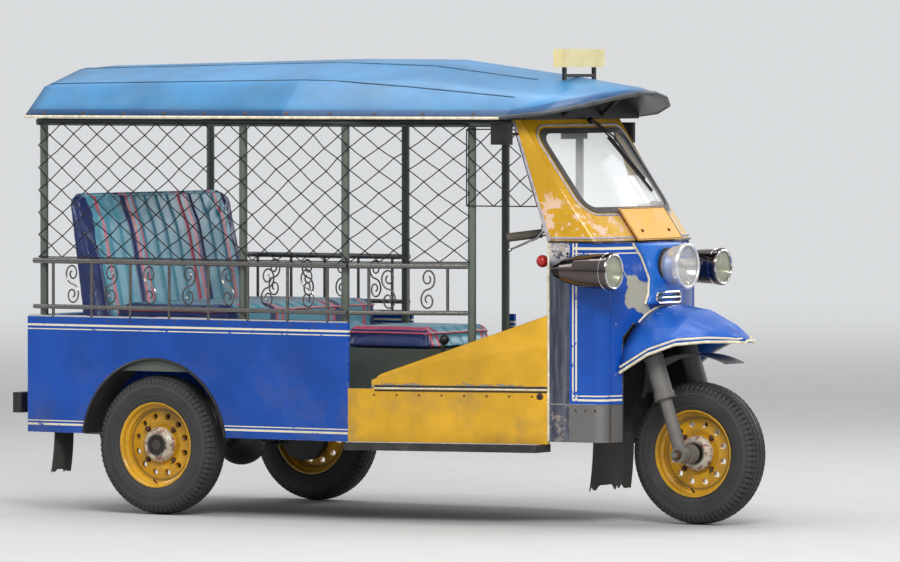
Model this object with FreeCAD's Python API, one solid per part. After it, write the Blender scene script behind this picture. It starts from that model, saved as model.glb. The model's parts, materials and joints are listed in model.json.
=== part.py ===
import FreeCAD, Part
import math
import os

# Three-wheeled passenger taxi (auto rickshaw), millimetres.
# +X is forward, +Y is the vehicle's left, +Z is up, and the ground is Z = 0.
# Along the vehicle, positions are written from the front axle, positive forward.

os.makedirs("parts", exist_ok=True)

# Wheels, and the clearances that pieces keep
tyre_diameter = 545.0
tyre_width = 125.0
tread_inset = 17.5
rim_diameter = 330.0
wheelbase = 2100.0
track = 1110.0
rear_overhang = 712.5
axle_radius = 10.0
rear_stub_radius = 18.0
rim_bead = 8.0
running_gap = 0.05
seat_gap = 0.3
joint_clearance = 6.0

tyre_radius = tyre_diameter / 2
half_length = (tyre_radius + wheelbase + rear_overhang) / 2
front_axle = half_length - tyre_radius

# Steering: fork, stem, head and bars
rake_deg = 18.5
fork_offset = 45.0
leg_spacing = tyre_width + 155.0
leg_upper_diameter = 74.0
leg_lower_diameter = 50.0
leg_step_rise = 208.0
boss_radius = 30.0
boss_half = leg_lower_diameter / 2 + 3.0
axle_end = 25.0
spindle_radius = 36.0
fender_clearance = 108.0
fender_thickness = 4.0
fender_half = tyre_width / 2 + 9.5
crown_height = tyre_diameter + fender_clearance + 25.0
crown_thickness = 30.0
crown_lip = 22.0
crown_rear_half = 110.0
stem_diameter = 36.0
stem_over = 70.0
head_length = 190.0
head_diameter = 60.0
bar_diameter = 24.0
grip_diameter = 34.0
grip_length = 130.0

rake = math.radians(rake_deg)
up_stem = FreeCAD.Vector(-math.sin(rake), 0, math.cos(rake))
ahead_stem = FreeCAD.Vector(math.cos(rake), 0, math.sin(rake))

# Wheel well behind the front wheel
well_half_width = leg_spacing / 2 + 110.0
well_rear = -(tyre_radius + 99.5)
well_top = crown_height + crown_thickness + 57.0
well_wall = 6.0
well_chamfer = 52.0
head_bottom = well_top + well_wall + 19.0

# Frame and floor heights
frame_bottom = tyre_radius + 57.5
frame_depth = 86.0
floor_thickness = 14.0
floor_top = frame_bottom + frame_depth + floor_thickness
frame_rail_spread = 250.0
frame_rail_width = 50.0
cross_member_width = 40.0
cross_member_depth = 60.0
rear_member_lead = 140.0
jack_pad = 120.0
jack_pad_thickness = 6.0
jack_place = 1000.0

# Cab
skin = 10.0
belt_height = well_top + 313.0
shoulder_height = belt_height - 138.0
blue_bottom = floor_top + 33.0
skirt_bottom = frame_bottom - 10.0
cab_front = -178.0
shoulder_bulge = 26.0
cab_corner = cab_front - 58.0
cab_rear = cab_front - 267.0
cab_half_width = 362.0
cab_flare = 23.0
cab_rear_half_width = cab_half_width + cab_flare
corner_radius = 55.0
strip_width = 88.0
nose_proud = 16.0

# Windscreen frame, raked back from the belt to the roof
screen_height = 467.0
screen_rake_deg = 36.0
pillar_top_depth = 88.7
frame_wall = skin + 4.0
window_low_share = 0.244
window_high_share = 0.93
window_inset_bottom = 40.0
window_inset_top = 36.0
window_corner = 62.0
rubber_width = 20.0
rubber_proud = 5.0
glass_thickness = 5.0
glass_recess = 2.0

screen_rake = math.radians(screen_rake_deg)
screen_top_height = belt_height + screen_height
screen_top_front = cab_front - screen_height * math.tan(screen_rake)
screen_top_rear = screen_top_front - pillar_top_depth
window_bottom = belt_height + window_low_share * screen_height
window_top = belt_height + window_high_share * screen_height
window_half_bottom = cab_half_width - window_inset_bottom
window_half_top = cab_half_width - window_inset_top

# Lamps, plate and mirrors
headlamp_height = belt_height - 92.0
headlamp_face = cab_front + 126.0
headlamp_diameter = 176.0
side_lamp_height = belt_height - 105.0
side_lamp_face = cab_front + 44.0
side_lamp_length = 280.0
side_lamp_diameter = 145.0
side_lamp_spread = cab_half_width + 53.0
lens_inset = 13.0
plate_width = 340.0
plate_height = 150.0
plate_thickness = 3.0
plate_standoff = 8.0
plate_boss_spacing = 200.0
plate_boss = 16.0
mirror_width = 90.0
mirror_height = 80.0
mirror_depth = 28.0
mirror_reach = 60.0
cab_mirror_width = 180.0

# Rear body
body_half_width = track / 2 + tyre_width / 2 + 0.5
bumper_reach = 112.5
tub_front = -wheelbase + 900.0
tub_rear = -wheelbase - rear_overhang + bumper_reach
tub_wall = 14.0
rear_member = tub_rear + rear_member_lead
sill_bottom = frame_bottom - 20.0
sill_top = floor_top + 85.0
tub_top = floor_top + 335.0
floor_rear = -wheelbase + tyre_radius + 47.5
entry_sill = floor_top + 18.0
arch_radius = tyre_radius + 62.5
arch_lining = 5.0
arch_lining_depth = 150.0
fairing_thickness = 26.0
fairing_high = tub_top + 26.0
fairing_low = sill_top + 33.0
board_thickness = 30.0
rear_panel_bottom = frame_bottom + 50.0
bumper_height = frame_bottom + 90.0
bumper_inset = 58.0
bumper_half = body_half_width - bumper_inset
bumper_depth = 40.0
bumper_rise = 80.0
tow_hole_across = 120.0
tow_hole_rise = 40.0
tow_hole_radius = 6.0
tail_lamp_size = 90.0
tail_lamp_depth = 30.0
tail_lamp_inset = 98.0
flap_thickness = 5.0
front_flap_half = 150.0
front_flap_low = 120.0
rear_flap_low = 150.0
rear_flap_inset = 8.0

# Seats, and the engine under the driver
bench_height = floor_top + 242.0
bench_depth = 680.0
bench_drop = 112.0
bench_rear = tub_rear + 220.0
bench_front = bench_rear + bench_depth
sheet = 15.0
cushion_thickness = 150.0
cushion_depth = 600.0
cushion_overhang = 30.0
cushion_side_gap = 44.0
cushion_half = body_half_width - tub_wall - cushion_side_gap
backrest_height = 590.0
backrest_lean = 124.0
backrest_top_depth = 60.0
seat_height = floor_top + 225.0
seat_thickness = 84.0
seat_half = 250.0
seat_front = tub_front + 140.0
seat_depth = 420.0
engine_half_width = 170.0
engine_front = tub_front + 70.0
engine_length = 380.0
engine_rise = 300.0
engine_clear = 20.0
engine_bottom = frame_bottom - 30.0
cover_setback = 20.0
cover_margin = 10.0
cover_room = 50.0

# Roof, its frame, posts, rails and net
roof_thickness = 14.0
roof_rise = 228.0
roof_half_width = body_half_width + 22.0
roof_edge_height = screen_top_height + 5.0
top_tube_radius = 14.0
top_frame_height = roof_edge_height - 20.0
post_radius = 16.0
front_post = cab_rear + 0.437 * (tub_front - cab_rear)
front_post_spread = cab_rear_half_width + 15.0
tub_posts = [tub_front - 30.0, bench_front + 100.0, tub_rear + 60.0]
tub_post_spread = body_half_width - tub_wall - post_radius - seat_gap
bow_depth = 14.0
bow_width = 24.0
header_thickness = 10.0
rail_top = tub_top + 220.0
low_rail_height = tub_top + 40.0
rail_radius = 11.0
low_rail_radius = 9.0
upright_radius = 6.0
rail_spread = tub_post_spread + post_radius + rail_radius + seat_gap
rail_end = 30.0
net_thickness = 3.0


def at(x, y, z):
    """A point, with x counted from the front axle."""
    return FreeCAD.Vector(front_axle + x, y, z)


def along_y(length):
    return FreeCAD.Vector(0, length, 0)


def save(name, shape):
    shape = shape.removeSplitter() if len(shape.Solids) == 1 else shape
    shape.exportStep("parts/" + name + ".step")


def solid_of(shape):
    solids = shape.Solids
    return solids[0] if len(solids) == 1 else Part.makeCompound(solids)


def block(x0, x1, y0, y1, z0, z1):
    low = at(min(x0, x1), min(y0, y1), min(z0, z1))
    return Part.makeBox(abs(x1 - x0), abs(y1 - y0), abs(z1 - z0), low)


def polygon(points):
    return Part.makePolygon(points + [points[0]])


def prism(points, direction):
    """A solid with a flat polygon end, pushed along direction."""
    return Part.Face(polygon(points)).extrude(direction)


def rod(a, b, radius):
    d = b - a
    return Part.makeCylinder(radius, d.Length, a, d)


def cross_rod(x, y0, y1, z, radius):
    """A round bar across the vehicle."""
    return rod(at(x, y0, z), at(x, y1, z), radius)


def mirror_y(shape):
    return shape.mirror(FreeCAD.Vector(0, 0, 0), FreeCAD.Vector(0, 1, 0))


def both_sides(shape):
    return Part.makeCompound([shape, mirror_y(shape)])


def fuse(shapes):
    first, rest = shapes[0], shapes[1:]
    return first.multiFuse(rest) if rest else first


def turn_profile(profile, centre, across):
    """Turn a profile of (distance, radius) points about an axis along X, or along Y if across."""
    axis = FreeCAD.Vector(0, 1, 0) if across else FreeCAD.Vector(1, 0, 0)
    points = [centre + axis * distance + FreeCAD.Vector(0, 0, radius) for distance, radius in profile]
    return Part.Face(polygon(points)).revolve(centre, axis, 360)


def bent_path(points, radius):
    """Straight runs joined by tangent arcs of one radius."""
    edges = []
    last = points[0]
    for before, here, after in zip(points, points[1:], points[2:]):
        a = (before - here).normalize()
        b = (after - here).normalize()
        half = a.getAngle(b) / 2
        back = min(radius / math.tan(half), 0.45 * min((before - here).Length, (after - here).Length))
        start = here + a * back
        end = here + b * back
        middle = (a + b).normalize()
        r = back * math.tan(half)
        centre = here + middle * (r / math.sin(half))
        edges.append(Part.LineSegment(last, start).toShape())
        edges.append(Part.Arc(start, centre - middle * r, end).toShape())
        last = end
    edges.append(Part.LineSegment(last, points[-1]).toShape())
    return Part.Wire(edges)


def tube(points, radius, bend):
    """A round bar along a path with rounded corners."""
    ring = Part.Wire(Part.makeCircle(radius, points[0], points[1] - points[0]))
    return bent_path(points, bend).makePipeShell([ring], True, False)


# Cab outline in plan: flat sides that flare to the rear, round corners and a bowed front


def plan_wire(z, front, corner, side_front, rear, narrow, wide, r):
    """Closed outline: bowed front, round corners and straight sides, at one height."""
    k = r * (1 - math.sqrt(0.5))
    p = [
        at(rear, -wide, z),
        at(side_front, -narrow, z),
        at(corner - k, -narrow + k, z),
        at(corner, -narrow + r, z),
        at(front, 0, z),
        at(corner, narrow - r, z),
        at(corner - k, narrow - k, z),
        at(side_front, narrow, z),
        at(rear, wide, z),
    ]
    return Part.Wire([
        Part.LineSegment(p[0], p[1]).toShape(),
        Part.Arc(p[1], p[2], p[3]).toShape(),
        Part.Arc(p[3], p[4], p[5]).toShape(),
        Part.Arc(p[5], p[6], p[7]).toShape(),
        Part.LineSegment(p[7], p[8]).toShape(),
        Part.LineSegment(p[8], p[0]).toShape(),
    ])


def cab_plan(z, inset, push, extra):
    """The cab's outline, inset from its outer face, with its nose pushed forward."""
    corner = cab_corner + push - inset
    r = corner_radius - inset
    slope = cab_flare / (cab_corner - corner_radius - cab_rear)
    wide = cab_rear_half_width - inset + slope * extra
    front = cab_front + push - inset
    return plan_wire(z, front, corner, corner - r, cab_rear - extra, cab_half_width - inset, wide, r)


def cab_volume(z0, z1, inset=0, extra=0):
    """The cab filled in between two heights, bulging forward below the shoulder."""
    pieces = []
    if z0 < shoulder_height:
        top = min(z1, shoulder_height)
        base = Part.Face(cab_plan(z0, inset, shoulder_bulge, extra))
        pieces.append(base.extrude(FreeCAD.Vector(0, 0, top - z0)))
    if z1 > shoulder_height:
        low = cab_plan(shoulder_height, inset, shoulder_bulge, extra)
        high = cab_plan(belt_height, inset, 0, extra)
        pieces.append(Part.makeLoft([low, high], True, True))
    return fuse(pieces)


def cab_skin(z0, z1):
    """The cab's wall, open to the rear."""
    return cab_volume(z0, z1).cut(cab_volume(z0, z1, skin, 60))


def strip_space():
    """The part of the cab that the rear edge strips cover."""
    return block(cab_rear - strip_width, cab_rear + strip_width, -body_half_width, body_half_width,
                 0, belt_height + strip_width)


def well_solid(wall, base):
    """The wheel well filled in, wider by a wall all round, from a height up."""
    w = well_half_width + wall
    z = well_top + wall
    c = well_chamfer
    outline = [
        at(0, -w, base), at(0, w, base), at(0, w, z - c), at(0, w - c, z),
        at(0, -w + c, z), at(0, -w, z - c),
    ]
    return prism(outline, FreeCAD.Vector(well_rear - wall, 0, 0))


def well_outer():
    return well_solid(well_wall, skirt_bottom)


def stem_point(height):
    """A point on the steering axis at this height."""
    foot = at(0, 0, tyre_radius) - ahead_stem * fork_offset
    return foot + up_stem * ((height - foot.z) / up_stem.z)


def leg_point(height, side):
    """A point on a fork leg's centre line."""
    base = at(0, side * leg_spacing / 2, tyre_radius)
    return base + up_stem * ((height - tyre_radius) / up_stem.z)


# Front cowl, its edge strips, skirt and wheel well


def front_cowl():
    shape = cab_skin(blue_bottom, belt_height).cut(strip_space())
    return solid_of(shape.cut(well_outer()))


def cowl_skirt():
    shape = cab_skin(skirt_bottom, blue_bottom).cut(strip_space())
    return Part.makeCompound(shape.cut(well_outer()).Solids)


def cowl_strips():
    """Bright metal strips that close the cowl's rear edges."""
    return Part.makeCompound(cab_skin(skirt_bottom, belt_height).common(strip_space()).Solids)


def wheel_well():
    shell = well_outer().cut(well_solid(0, 0))
    shell = shell.common(cab_volume(skirt_bottom, belt_height))
    hole_radius = stem_diameter / 2 + 2 * joint_clearance
    hole = rod(stem_point(well_top - well_chamfer), stem_point(well_top + well_chamfer), hole_radius)
    return solid_of(shell.cut(hole))


# distance below the belt, half width
nose_outline = [(4, 172), (58, 138), (138, 112), (198, 116), (236, 134)]


def nose_panel():
    """Raised panel in the middle of the cowl that carries the headlamp."""
    right = [at(0, -w, belt_height - drop) for drop, w in nose_outline]
    left = [at(0, w, belt_height - drop) for drop, w in reversed(nose_outline)]
    slab = prism(right + left, FreeCAD.Vector(cab_corner, 0, 0))
    cab = cab_volume(blue_bottom, belt_height)
    return solid_of(slab.common(cab.translated(FreeCAD.Vector(nose_proud, 0, 0))).cut(cab))


# Mudguard peak over the front wheel, fixed to the cab

# along, half width, crest and edge heights above the tyre
peak_table = [
    (-190, 282, 287, 40),
    (-80, 262, 293, 110),
    (20, 226, 277, 149),
    (120, 160, 230, 159),
    (190, 84, 183, 158),
    (219, 34, 163, 153),
]
peak_wall = 8.0
peak_skirt = 30.0


def peak_loft(wall):
    """The peak filled in, or the space under it where wall is its thickness."""
    wires = []
    last = len(peak_table) - 1
    for i, (x, half, crest, edge) in enumerate(peak_table):
        if wall and i == last:
            x -= 1.5 * wall
        if wall and i == 0:
            x -= wall
        low = tyre_diameter + edge - (peak_skirt if wall else 0)
        right = at(x, wall - half, low)
        left = at(x, half - wall, low)
        top = at(x, 0, tyre_diameter + crest - wall)
        arc = Part.Arc(right, top, left).toShape()
        wires.append(Part.Wire([arc, Part.LineSegment(left, right).toShape()]))
    return Part.makeLoft(wires, True, True)


def front_mudguard():
    shell = peak_loft(0).cut(peak_loft(peak_wall))
    return solid_of(shell.cut(cab_volume(skirt_bottom, belt_height)))


# Windscreen frame and glass


def screen_plan(z, inset, rear_extra):
    """Outline of the frame at a height, its corners turning sharp towards the roof."""
    t = (z - belt_height) / screen_height
    front = cab_front + (screen_top_front - cab_front) * t - inset
    corner = front + (cab_corner - cab_front)
    rear = cab_rear + (screen_top_rear - cab_rear) * t - rear_extra
    r = corner_radius * 0.55
    side_front = corner - min(r, (corner - r - rear) * 0.9)
    narrow = cab_half_width - inset + skin * 0.8 * t
    return plan_wire(z, front, corner, side_front, rear, narrow, cab_rear_half_width - inset, r)


def screen_slab(out, depth):
    """The raked front as a wall between two offsets from its outer face."""
    past = 2 * pillar_top_depth
    outer = Part.makeLoft([screen_plan(z, -out, 0) for z in (belt_height, screen_top_height)], True, True)
    inner = Part.makeLoft([screen_plan(z, depth, past) for z in (belt_height, screen_top_height)], True, True)
    return outer.cut(inner)


def window_prism(shrink):
    """Rounded window opening, running fore and aft through the frame."""
    low = window_bottom + shrink
    high = window_top - shrink
    b = window_half_bottom - shrink
    t = window_half_top - shrink
    r = window_corner - shrink
    k = r * (1 - math.sqrt(0.5))
    corners = []
    for y, z, sy, sz in [(-b, low, 1, 1), (b, low, -1, 1), (t, high, -1, -1), (-t, high, 1, -1)]:
        on_level = at(0, y + sy * r, z)
        on_side = at(0, y, z + sz * r)
        middle = at(0, y + sy * k, z + sz * k)
        level_last = sy * sz > 0
        start, end = (on_side, on_level) if level_last else (on_level, on_side)
        corners.append((start, middle, end))
    edges = []
    for arc, following in zip(corners, corners[1:] + corners[:1]):
        edges.append(Part.Arc(*arc).toShape())
        edges.append(Part.LineSegment(arc[2], following[0]).toShape())
    return Part.Face(Part.Wire(edges)).extrude(FreeCAD.Vector(screen_top_rear, 0, 0))


def windscreen_frame():
    return solid_of(screen_slab(0, frame_wall).cut(window_prism(0)))


def windscreen_rubber():
    ring = window_prism(0).cut(window_prism(rubber_width))
    return solid_of(screen_slab(rubber_proud, frame_wall).common(ring))


def windscreen_glass():
    pane = screen_slab(-glass_recess, glass_recess + glass_thickness)
    return solid_of(pane.common(window_prism(rubber_width)))


# Lamps, plate, wiper and mirrors


def headlamp_shell():
    r = headlamp_diameter / 2
    n = headlamp_diameter
    # distance from the face, radius
    profile = [
        (0, r - 9), (0, r - 3), (-5, r), (-22, r - 1), (-24, r - 7), (-0.34 * n, r - 14),
        (-0.52 * n, r - 30), (-0.61 * n, r - 52), (-0.61 * n, 0), (-0.57 * n, 0), (-0.57 * n, r - 56),
        (-0.49 * n, r - 36), (-0.33 * n, r - 22), (-12, r - lens_inset), (-1, r - lens_inset),
    ]
    bowl = turn_profile(profile, at(headlamp_face, 0, headlamp_height), False)
    return solid_of(bowl.cut(cab_volume(blue_bottom, belt_height)).cut(nose_panel()))


def headlamp_lens():
    r = headlamp_diameter / 2
    edge = r - lens_inset - seat_gap
    profile = [(4, 0), (2, r * 0.5), (-2, edge), (-10, edge), (-8, r * 0.5), (-6, 0)]
    return solid_of(turn_profile(profile, at(headlamp_face, 0, headlamp_height), False))


def side_lamp_shell():
    """Bullet lamp, pointed to the rear, let into the cowl's corner."""
    r = side_lamp_diameter / 2
    n = side_lamp_length
    # distance from the face, radius
    profile = [
        (0, r - 10), (0, r - 3), (-4, r), (-16, r), (-18, r - 4), (-0.3 * n, r - 6), (-0.55 * n, r - 12),
        (-0.78 * n, r - 27), (-0.93 * n, r - 47), (-n, 8), (-n, 0), (-n + 6, 0), (-0.9 * n, r - 50),
        (-0.6 * n, r - 20), (-10, r - lens_inset), (-1, r - lens_inset),
    ]
    shape = turn_profile(profile, at(side_lamp_face, -side_lamp_spread, side_lamp_height), False)
    return solid_of(shape.cut(cab_volume(blue_bottom, belt_height)))


def side_lamp_lens():
    r = side_lamp_diameter / 2
    edge = r - lens_inset - seat_gap
    profile = [(6, 0), (3, r * 0.5), (-2, edge), (-8, edge), (-4, r * 0.5), (-1, 0)]
    return solid_of(turn_profile(profile, at(side_lamp_face, -side_lamp_spread, side_lamp_height), False))


def on_screen(y, up, out):
    """A point on the raked front: across, up the slope from the belt, and out of the face."""
    base = at(cab_front, y, belt_height)
    slope = FreeCAD.Vector(-math.sin(screen_rake), 0, math.cos(screen_rake))
    normal = FreeCAD.Vector(math.cos(screen_rake), 0, math.sin(screen_rake))
    return base + slope * up + normal * out


def screen_block(out0, out1, y0, y1, up0, up1):
    """A block laid on the raked front."""
    corners = [(out0, up0), (out1, up0), (out1, up1), (out0, up1)]
    return prism([on_screen(y0, up, out) for out, up in corners], along_y(y1 - y0))


def number_plate():
    """Blank plate held off the frame by two bosses near its lower edge."""
    low = plate_thickness
    half = plate_width / 2
    back = plate_standoff
    shapes = [screen_block(back, back + plate_thickness, -half, half, low, low + plate_height)]
    for y in (-plate_boss_spacing / 2, plate_boss_spacing / 2):
        y0, y1 = y - plate_boss / 2, y + plate_boss / 2
        shapes.append(screen_block(-frame_wall, back, y0, y1, low + plate_boss, low + 2 * plate_boss))
    return solid_of(fuse(shapes).cut(screen_slab(seat_gap, 4 * frame_wall)))


# across, share of the slope above the belt, height over the face
wiper_pivot = (30, 0.97, 12)
wiper_elbow = (150, 0.57, 12)
blade_top = (116, 0.79, 12)
blade_tip = (186, 0.37, 6)
wiper_radius = 4.0


def wiper():
    """Arm from a pivot over the window, and its blade across the glass."""
    slope_length = screen_height / math.cos(screen_rake)
    ends = [on_screen(y, share * slope_length, out)
            for y, share, out in (wiper_pivot, wiper_elbow, blade_top, blade_tip)]
    y, share, out = wiper_pivot
    pivot = rod(on_screen(y, share * slope_length, 1), on_screen(y, share * slope_length, out + 4), 9)
    arm = rod(ends[0], ends[1], wiper_radius)
    blade = rod(ends[2], ends[3], wiper_radius)
    return solid_of(fuse([pivot, arm, blade]))


def mirrors():
    """A mirror on each pillar under the roof, and one inside over the windscreen."""
    top = top_frame_height
    low = top - mirror_height
    middle = (top + low) / 2
    near = screen_top_rear + 45
    side = cab_rear_half_width + mirror_reach
    head = block(near, near - mirror_width, -side, -side - mirror_depth, low, top)
    head = head.makeFillet(mirror_depth * 0.35, [e for e in head.Edges if e.Vertexes[0].Y == e.Vertexes[1].Y])
    arm = rod(at(near - 18, -cab_rear_half_width - seat_gap, middle), at(near - 30, -side - 2, middle), 5)
    side_mirror = solid_of(fuse([head, arm]))
    over_window = (window_top + screen_top_height) / 2
    wall_x = on_screen(0, (over_window - belt_height) / math.cos(screen_rake), 0).x - front_axle
    stem_x = wall_x - frame_wall - seat_gap
    half = cab_mirror_width / 2
    inner = block(stem_x - 34, stem_x - 46, -half, half, over_window - 60, over_window)
    stem = rod(at(stem_x, 0, over_window - 8), at(stem_x - 36, 0, over_window - 8), 5)
    return Part.makeCompound([side_mirror, mirror_y(side_mirror), solid_of(fuse([inner, stem]))])


# Roof: one skin with two creases a side and a rounded visor in front

# along, then shares of the roof's half width and rise:
# half width, edge rise, crease 1 (across, rise), crease 2 (across, rise), crest rise
roof_table = [
    (tub_rear, 1.0, 0, 0.78, 0.52, 0.39, 0.825, 0.886),
    (tub_front - 300, 1.0, 0, 0.75, 0.614, 0.375, 0.93, 1.0),
    (tub_front + 150, 0.9375, 0, 0.625, 0.632, 0.297, 0.912, 0.987),
    (screen_top_front - 73, 0.734, 0, 0.497, 0.395, 0.247, 0.649, 0.728),
    (screen_top_front + 77, 0.675, 0.07, 0.453, 0.36, 0.219, 0.57, 0.632),
    (screen_top_front + 187, 0.516, 0.193, 0.353, 0.386, 0.172, 0.518, 0.553),
    (screen_top_front + 255, 0.3, 0.325, 0.2, 0.412, 0.1, 0.465, 0.482),
    (screen_top_front + 282, 0.094, 0.404, 0.0625, 0.421, 0.031, 0.439, 0.443),
]


def roof_row(x):
    """Real sizes of the roof's section at any place along it."""
    for a, b in zip(roof_table, roof_table[1:]):
        if a[0] <= x <= b[0]:
            t = (x - a[0]) / (b[0] - a[0])
            row = [p + (q - p) * t for p, q in zip(a, b)]
    half, y1, y2 = [row[i] * roof_half_width for i in (1, 3, 5)]
    edge, z1, z2, crest = [roof_edge_height + row[i] * roof_rise for i in (2, 4, 6, 7)]
    return half, edge, y1, z1, y2, z2, crest


def roof_section(x):
    half, edge, y1, z1, y2, z2, crest = roof_row(x)
    drop = roof_thickness
    low_half = half - min(drop, half * 0.3)
    right = [(half, edge), (y1, z1), (y2, z2), (0, crest)]
    inside = [(low_half, edge), (y1 - 4, z1 - drop), (y2, z2 - drop), (0, crest - drop)]
    top = right + [(-y, z) for y, z in reversed(right[:-1])]
    bottom = [(-y, z) for y, z in inside] + list(reversed(inside[:-1]))
    return polygon([at(x, y, z) for y, z in top + bottom])


def roof_panel():
    return solid_of(Part.makeLoft([roof_section(row[0]) for row in roof_table], True, True))


def raised_roof(lift):
    return roof_panel().translated(FreeCAD.Vector(0, 0, lift))


def roof_bow(x, reach):
    """Flat bar that follows the roof's inside, standing on the two side tubes."""
    half, edge, y1, z1, y2, z2, crest = roof_row(x)
    drop = roof_thickness + seat_gap
    end_y = half - roof_thickness
    t = (end_y - reach) / (end_y - y1)
    foot = top_frame_height + top_tube_radius + seat_gap
    outer = [(reach, foot), (reach, edge + (z1 - drop - edge) * t), (y1, z1 - drop), (y2, z2 - drop)]
    inner = [(reach - bow_depth, foot), (y1 - bow_depth, z1 - drop - bow_depth), (y2, z2 - drop - bow_depth)]
    peak = crest - drop
    points = outer + [(0, peak)] + [(-y, z) for y, z in reversed(outer)]
    points += [(-y, z) for y, z in inner] + [(0, peak - bow_depth)] + list(reversed(inner))
    bow = prism([at(x - bow_width / 2, y, z) for y, z in points], FreeCAD.Vector(bow_width, 0, 0))
    return solid_of(bow.cut(raised_roof(-seat_gap)))


def roof_bows():
    places = [(front_post, front_post_spread)] + [(x, tub_post_spread) for x in tub_posts]
    return Part.makeCompound([roof_bow(x, reach) for x, reach in places])


def roof_frame():
    """Two tubes along the sides under the roof's edge."""
    z = top_frame_height
    front = screen_top_rear - seat_gap
    inside = cab_rear_half_width - top_tube_radius / 2
    path = [at(front, -inside, z), at(front_post, -front_post_spread, z),
            at(tub_posts[0], -tub_post_spread, z), at(tub_rear + rail_end, -tub_post_spread, z)]
    return both_sides(tube(path, top_tube_radius, 90))


strut_run = FreeCAD.Vector(130, 0, 105)
strut_radius = 8.0


def roof_header():
    """Panel that closes the space from the windscreen frame to the roof, with two visor struts."""
    x = screen_top_front - frame_wall
    half = roof_row(x)[0] - 2 * roof_thickness
    low = screen_top_height + seat_gap
    panel = block(x, x + header_thickness, -half, half, low, low + roof_rise)
    shapes = [panel]
    for y in (-half / 3, half / 3):
        foot = at(x + header_thickness / 2, y, low + roof_thickness)
        shapes.append(rod(foot, foot + strut_run, strut_radius))
    shape = fuse(shapes).cut(raised_roof(-seat_gap)).cut(raised_roof(roof_thickness))
    return max(shape.Solids, key=lambda s: s.Volume)


def roof_posts():
    top = top_frame_height - top_tube_radius - seat_gap
    foot = floor_top + seat_gap
    places = [(front_post, front_post_spread)] + [(x, tub_post_spread) for x in tub_posts]
    return Part.makeCompound([
        rod(at(x, side * y, foot), at(x, side * y, top), post_radius) for x, y in places for side in (-1, 1)
    ])


sign_width = 320.0
sign_height = 70.0
sign_thickness = 40.0
sign_lift = 110.0
sign_leg = 12.0
sign_leg_width = 16.0
sign_leg_setback = 26.0
sign_bar_rise = 2.0


def roof_sign():
    """Blank sign board on two legs that stand on the visor."""
    x = screen_top_front
    crest = roof_row(x)[6]
    low = crest + sign_lift - sign_height
    high = crest + sign_lift
    half = sign_width / 2
    board = block(x - sign_thickness, x, -half, half, low, high)
    spread = half * 0.69
    x0 = x - sign_leg_setback
    x1 = x0 + sign_leg
    bar = crest + sign_bar_rise
    shapes = [board, block(x0, x1, -spread, spread, bar, bar + sign_leg)]
    for y in (-spread, spread):
        y0, y1 = y - sign_leg_width / 2, y + sign_leg_width / 2
        shapes.append(block(x0, x1, y0, y1, crest - 2 * roof_thickness, low + 1))
    shape = fuse(shapes).cut(roof_panel())
    return max(shape.Solids, key=lambda s: s.Volume)


# Side fairings, sills, tub and floor


def flare(x):
    """Half width of the body's side at a place along it, widening behind the cab."""
    t = min(1.0, max(0.0, (cab_rear - x) / (cab_rear - tub_front)))
    return cab_rear_half_width + (body_half_width - cab_rear_half_width) * t


def side_sheet(rows, thick):
    """A wall that follows the flare. Each row is along, low height, high height."""
    wires = []
    for x, low, high in rows:
        y = -flare(x)
        wires.append(polygon([at(x, y, low), at(x, y, high), at(x, y + thick, high), at(x, y + thick, low)]))
    return Part.makeLoft(wires, True, True)


def side_fairing():
    low = sill_top + seat_gap
    front = cab_rear - seat_gap
    return side_sheet([(front, low, fairing_high), (tub_front + 90, low, fairing_low)], fairing_thickness)


def sill_panel():
    rows = [(cab_rear - seat_gap, sill_bottom, sill_top), (tub_front + seat_gap, sill_bottom, sill_top)]
    return side_sheet(rows, tub_wall)


def running_board():
    # along, width outside the sill
    rows = [(cab_rear - 10, 70), (tub_front, 30)]
    low = sill_bottom - board_thickness - seat_gap
    points = [at(x, -flare(x) - w, low) for x, w in rows]
    points += [at(x, -flare(x) + 40, low) for x, w in reversed(rows)]
    return prism(points, FreeCAD.Vector(0, 0, board_thickness))


def tub_side():
    """One side of the passenger tub, with its wheel arch."""
    y = -body_half_width
    wall = block(tub_rear, tub_front, y, y + tub_wall, sill_bottom, tub_top)
    centre = at(-wheelbase, y - tub_wall, tyre_radius)
    return solid_of(wall.cut(Part.makeCylinder(arch_radius, 3 * tub_wall, centre, FreeCAD.Vector(0, 1, 0))))


def tub_side_left():
    """The left side is cut down between two posts, where the passengers get in."""
    clear = post_radius + 4
    y0, y1 = body_half_width - 3 * tub_wall, body_half_width + tub_wall
    entry = block(tub_posts[0] - clear, tub_posts[1] + clear, y0, y1, entry_sill, tub_top + tub_wall)
    return solid_of(mirror_y(tub_side()).cut(entry))


def arch_lining_half():
    """Curved splash plates before and behind a rear wheel, under the bench."""
    y0 = -body_half_width + tub_wall + seat_gap
    centre = at(-wheelbase, y0, tyre_radius)
    across = FreeCAD.Vector(0, 1, 0)
    ring = Part.makeCylinder(arch_radius + arch_lining, arch_lining_depth, centre, across)
    ring = ring.cut(Part.makeCylinder(arch_radius, arch_lining_depth, centre, across))
    far = 2 * arch_radius
    under_bench = bench_height - bench_drop - seat_gap
    keep = block(-wheelbase - far, -wheelbase + far, -far * 2, 0, sill_bottom, under_bench)
    gap = block(floor_rear - 1, tub_front, -far * 2, 0, 0, under_bench)
    return ring.common(keep).cut(gap)


def rear_arches():
    pieces = arch_lining_half().Solids
    return Part.makeCompound(pieces + [mirror_y(p) for p in pieces])


def rear_panel():
    half = body_half_width - tub_wall - seat_gap
    return block(tub_rear, tub_rear + tub_wall, -half, half, rear_panel_bottom, tub_top)


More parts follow.
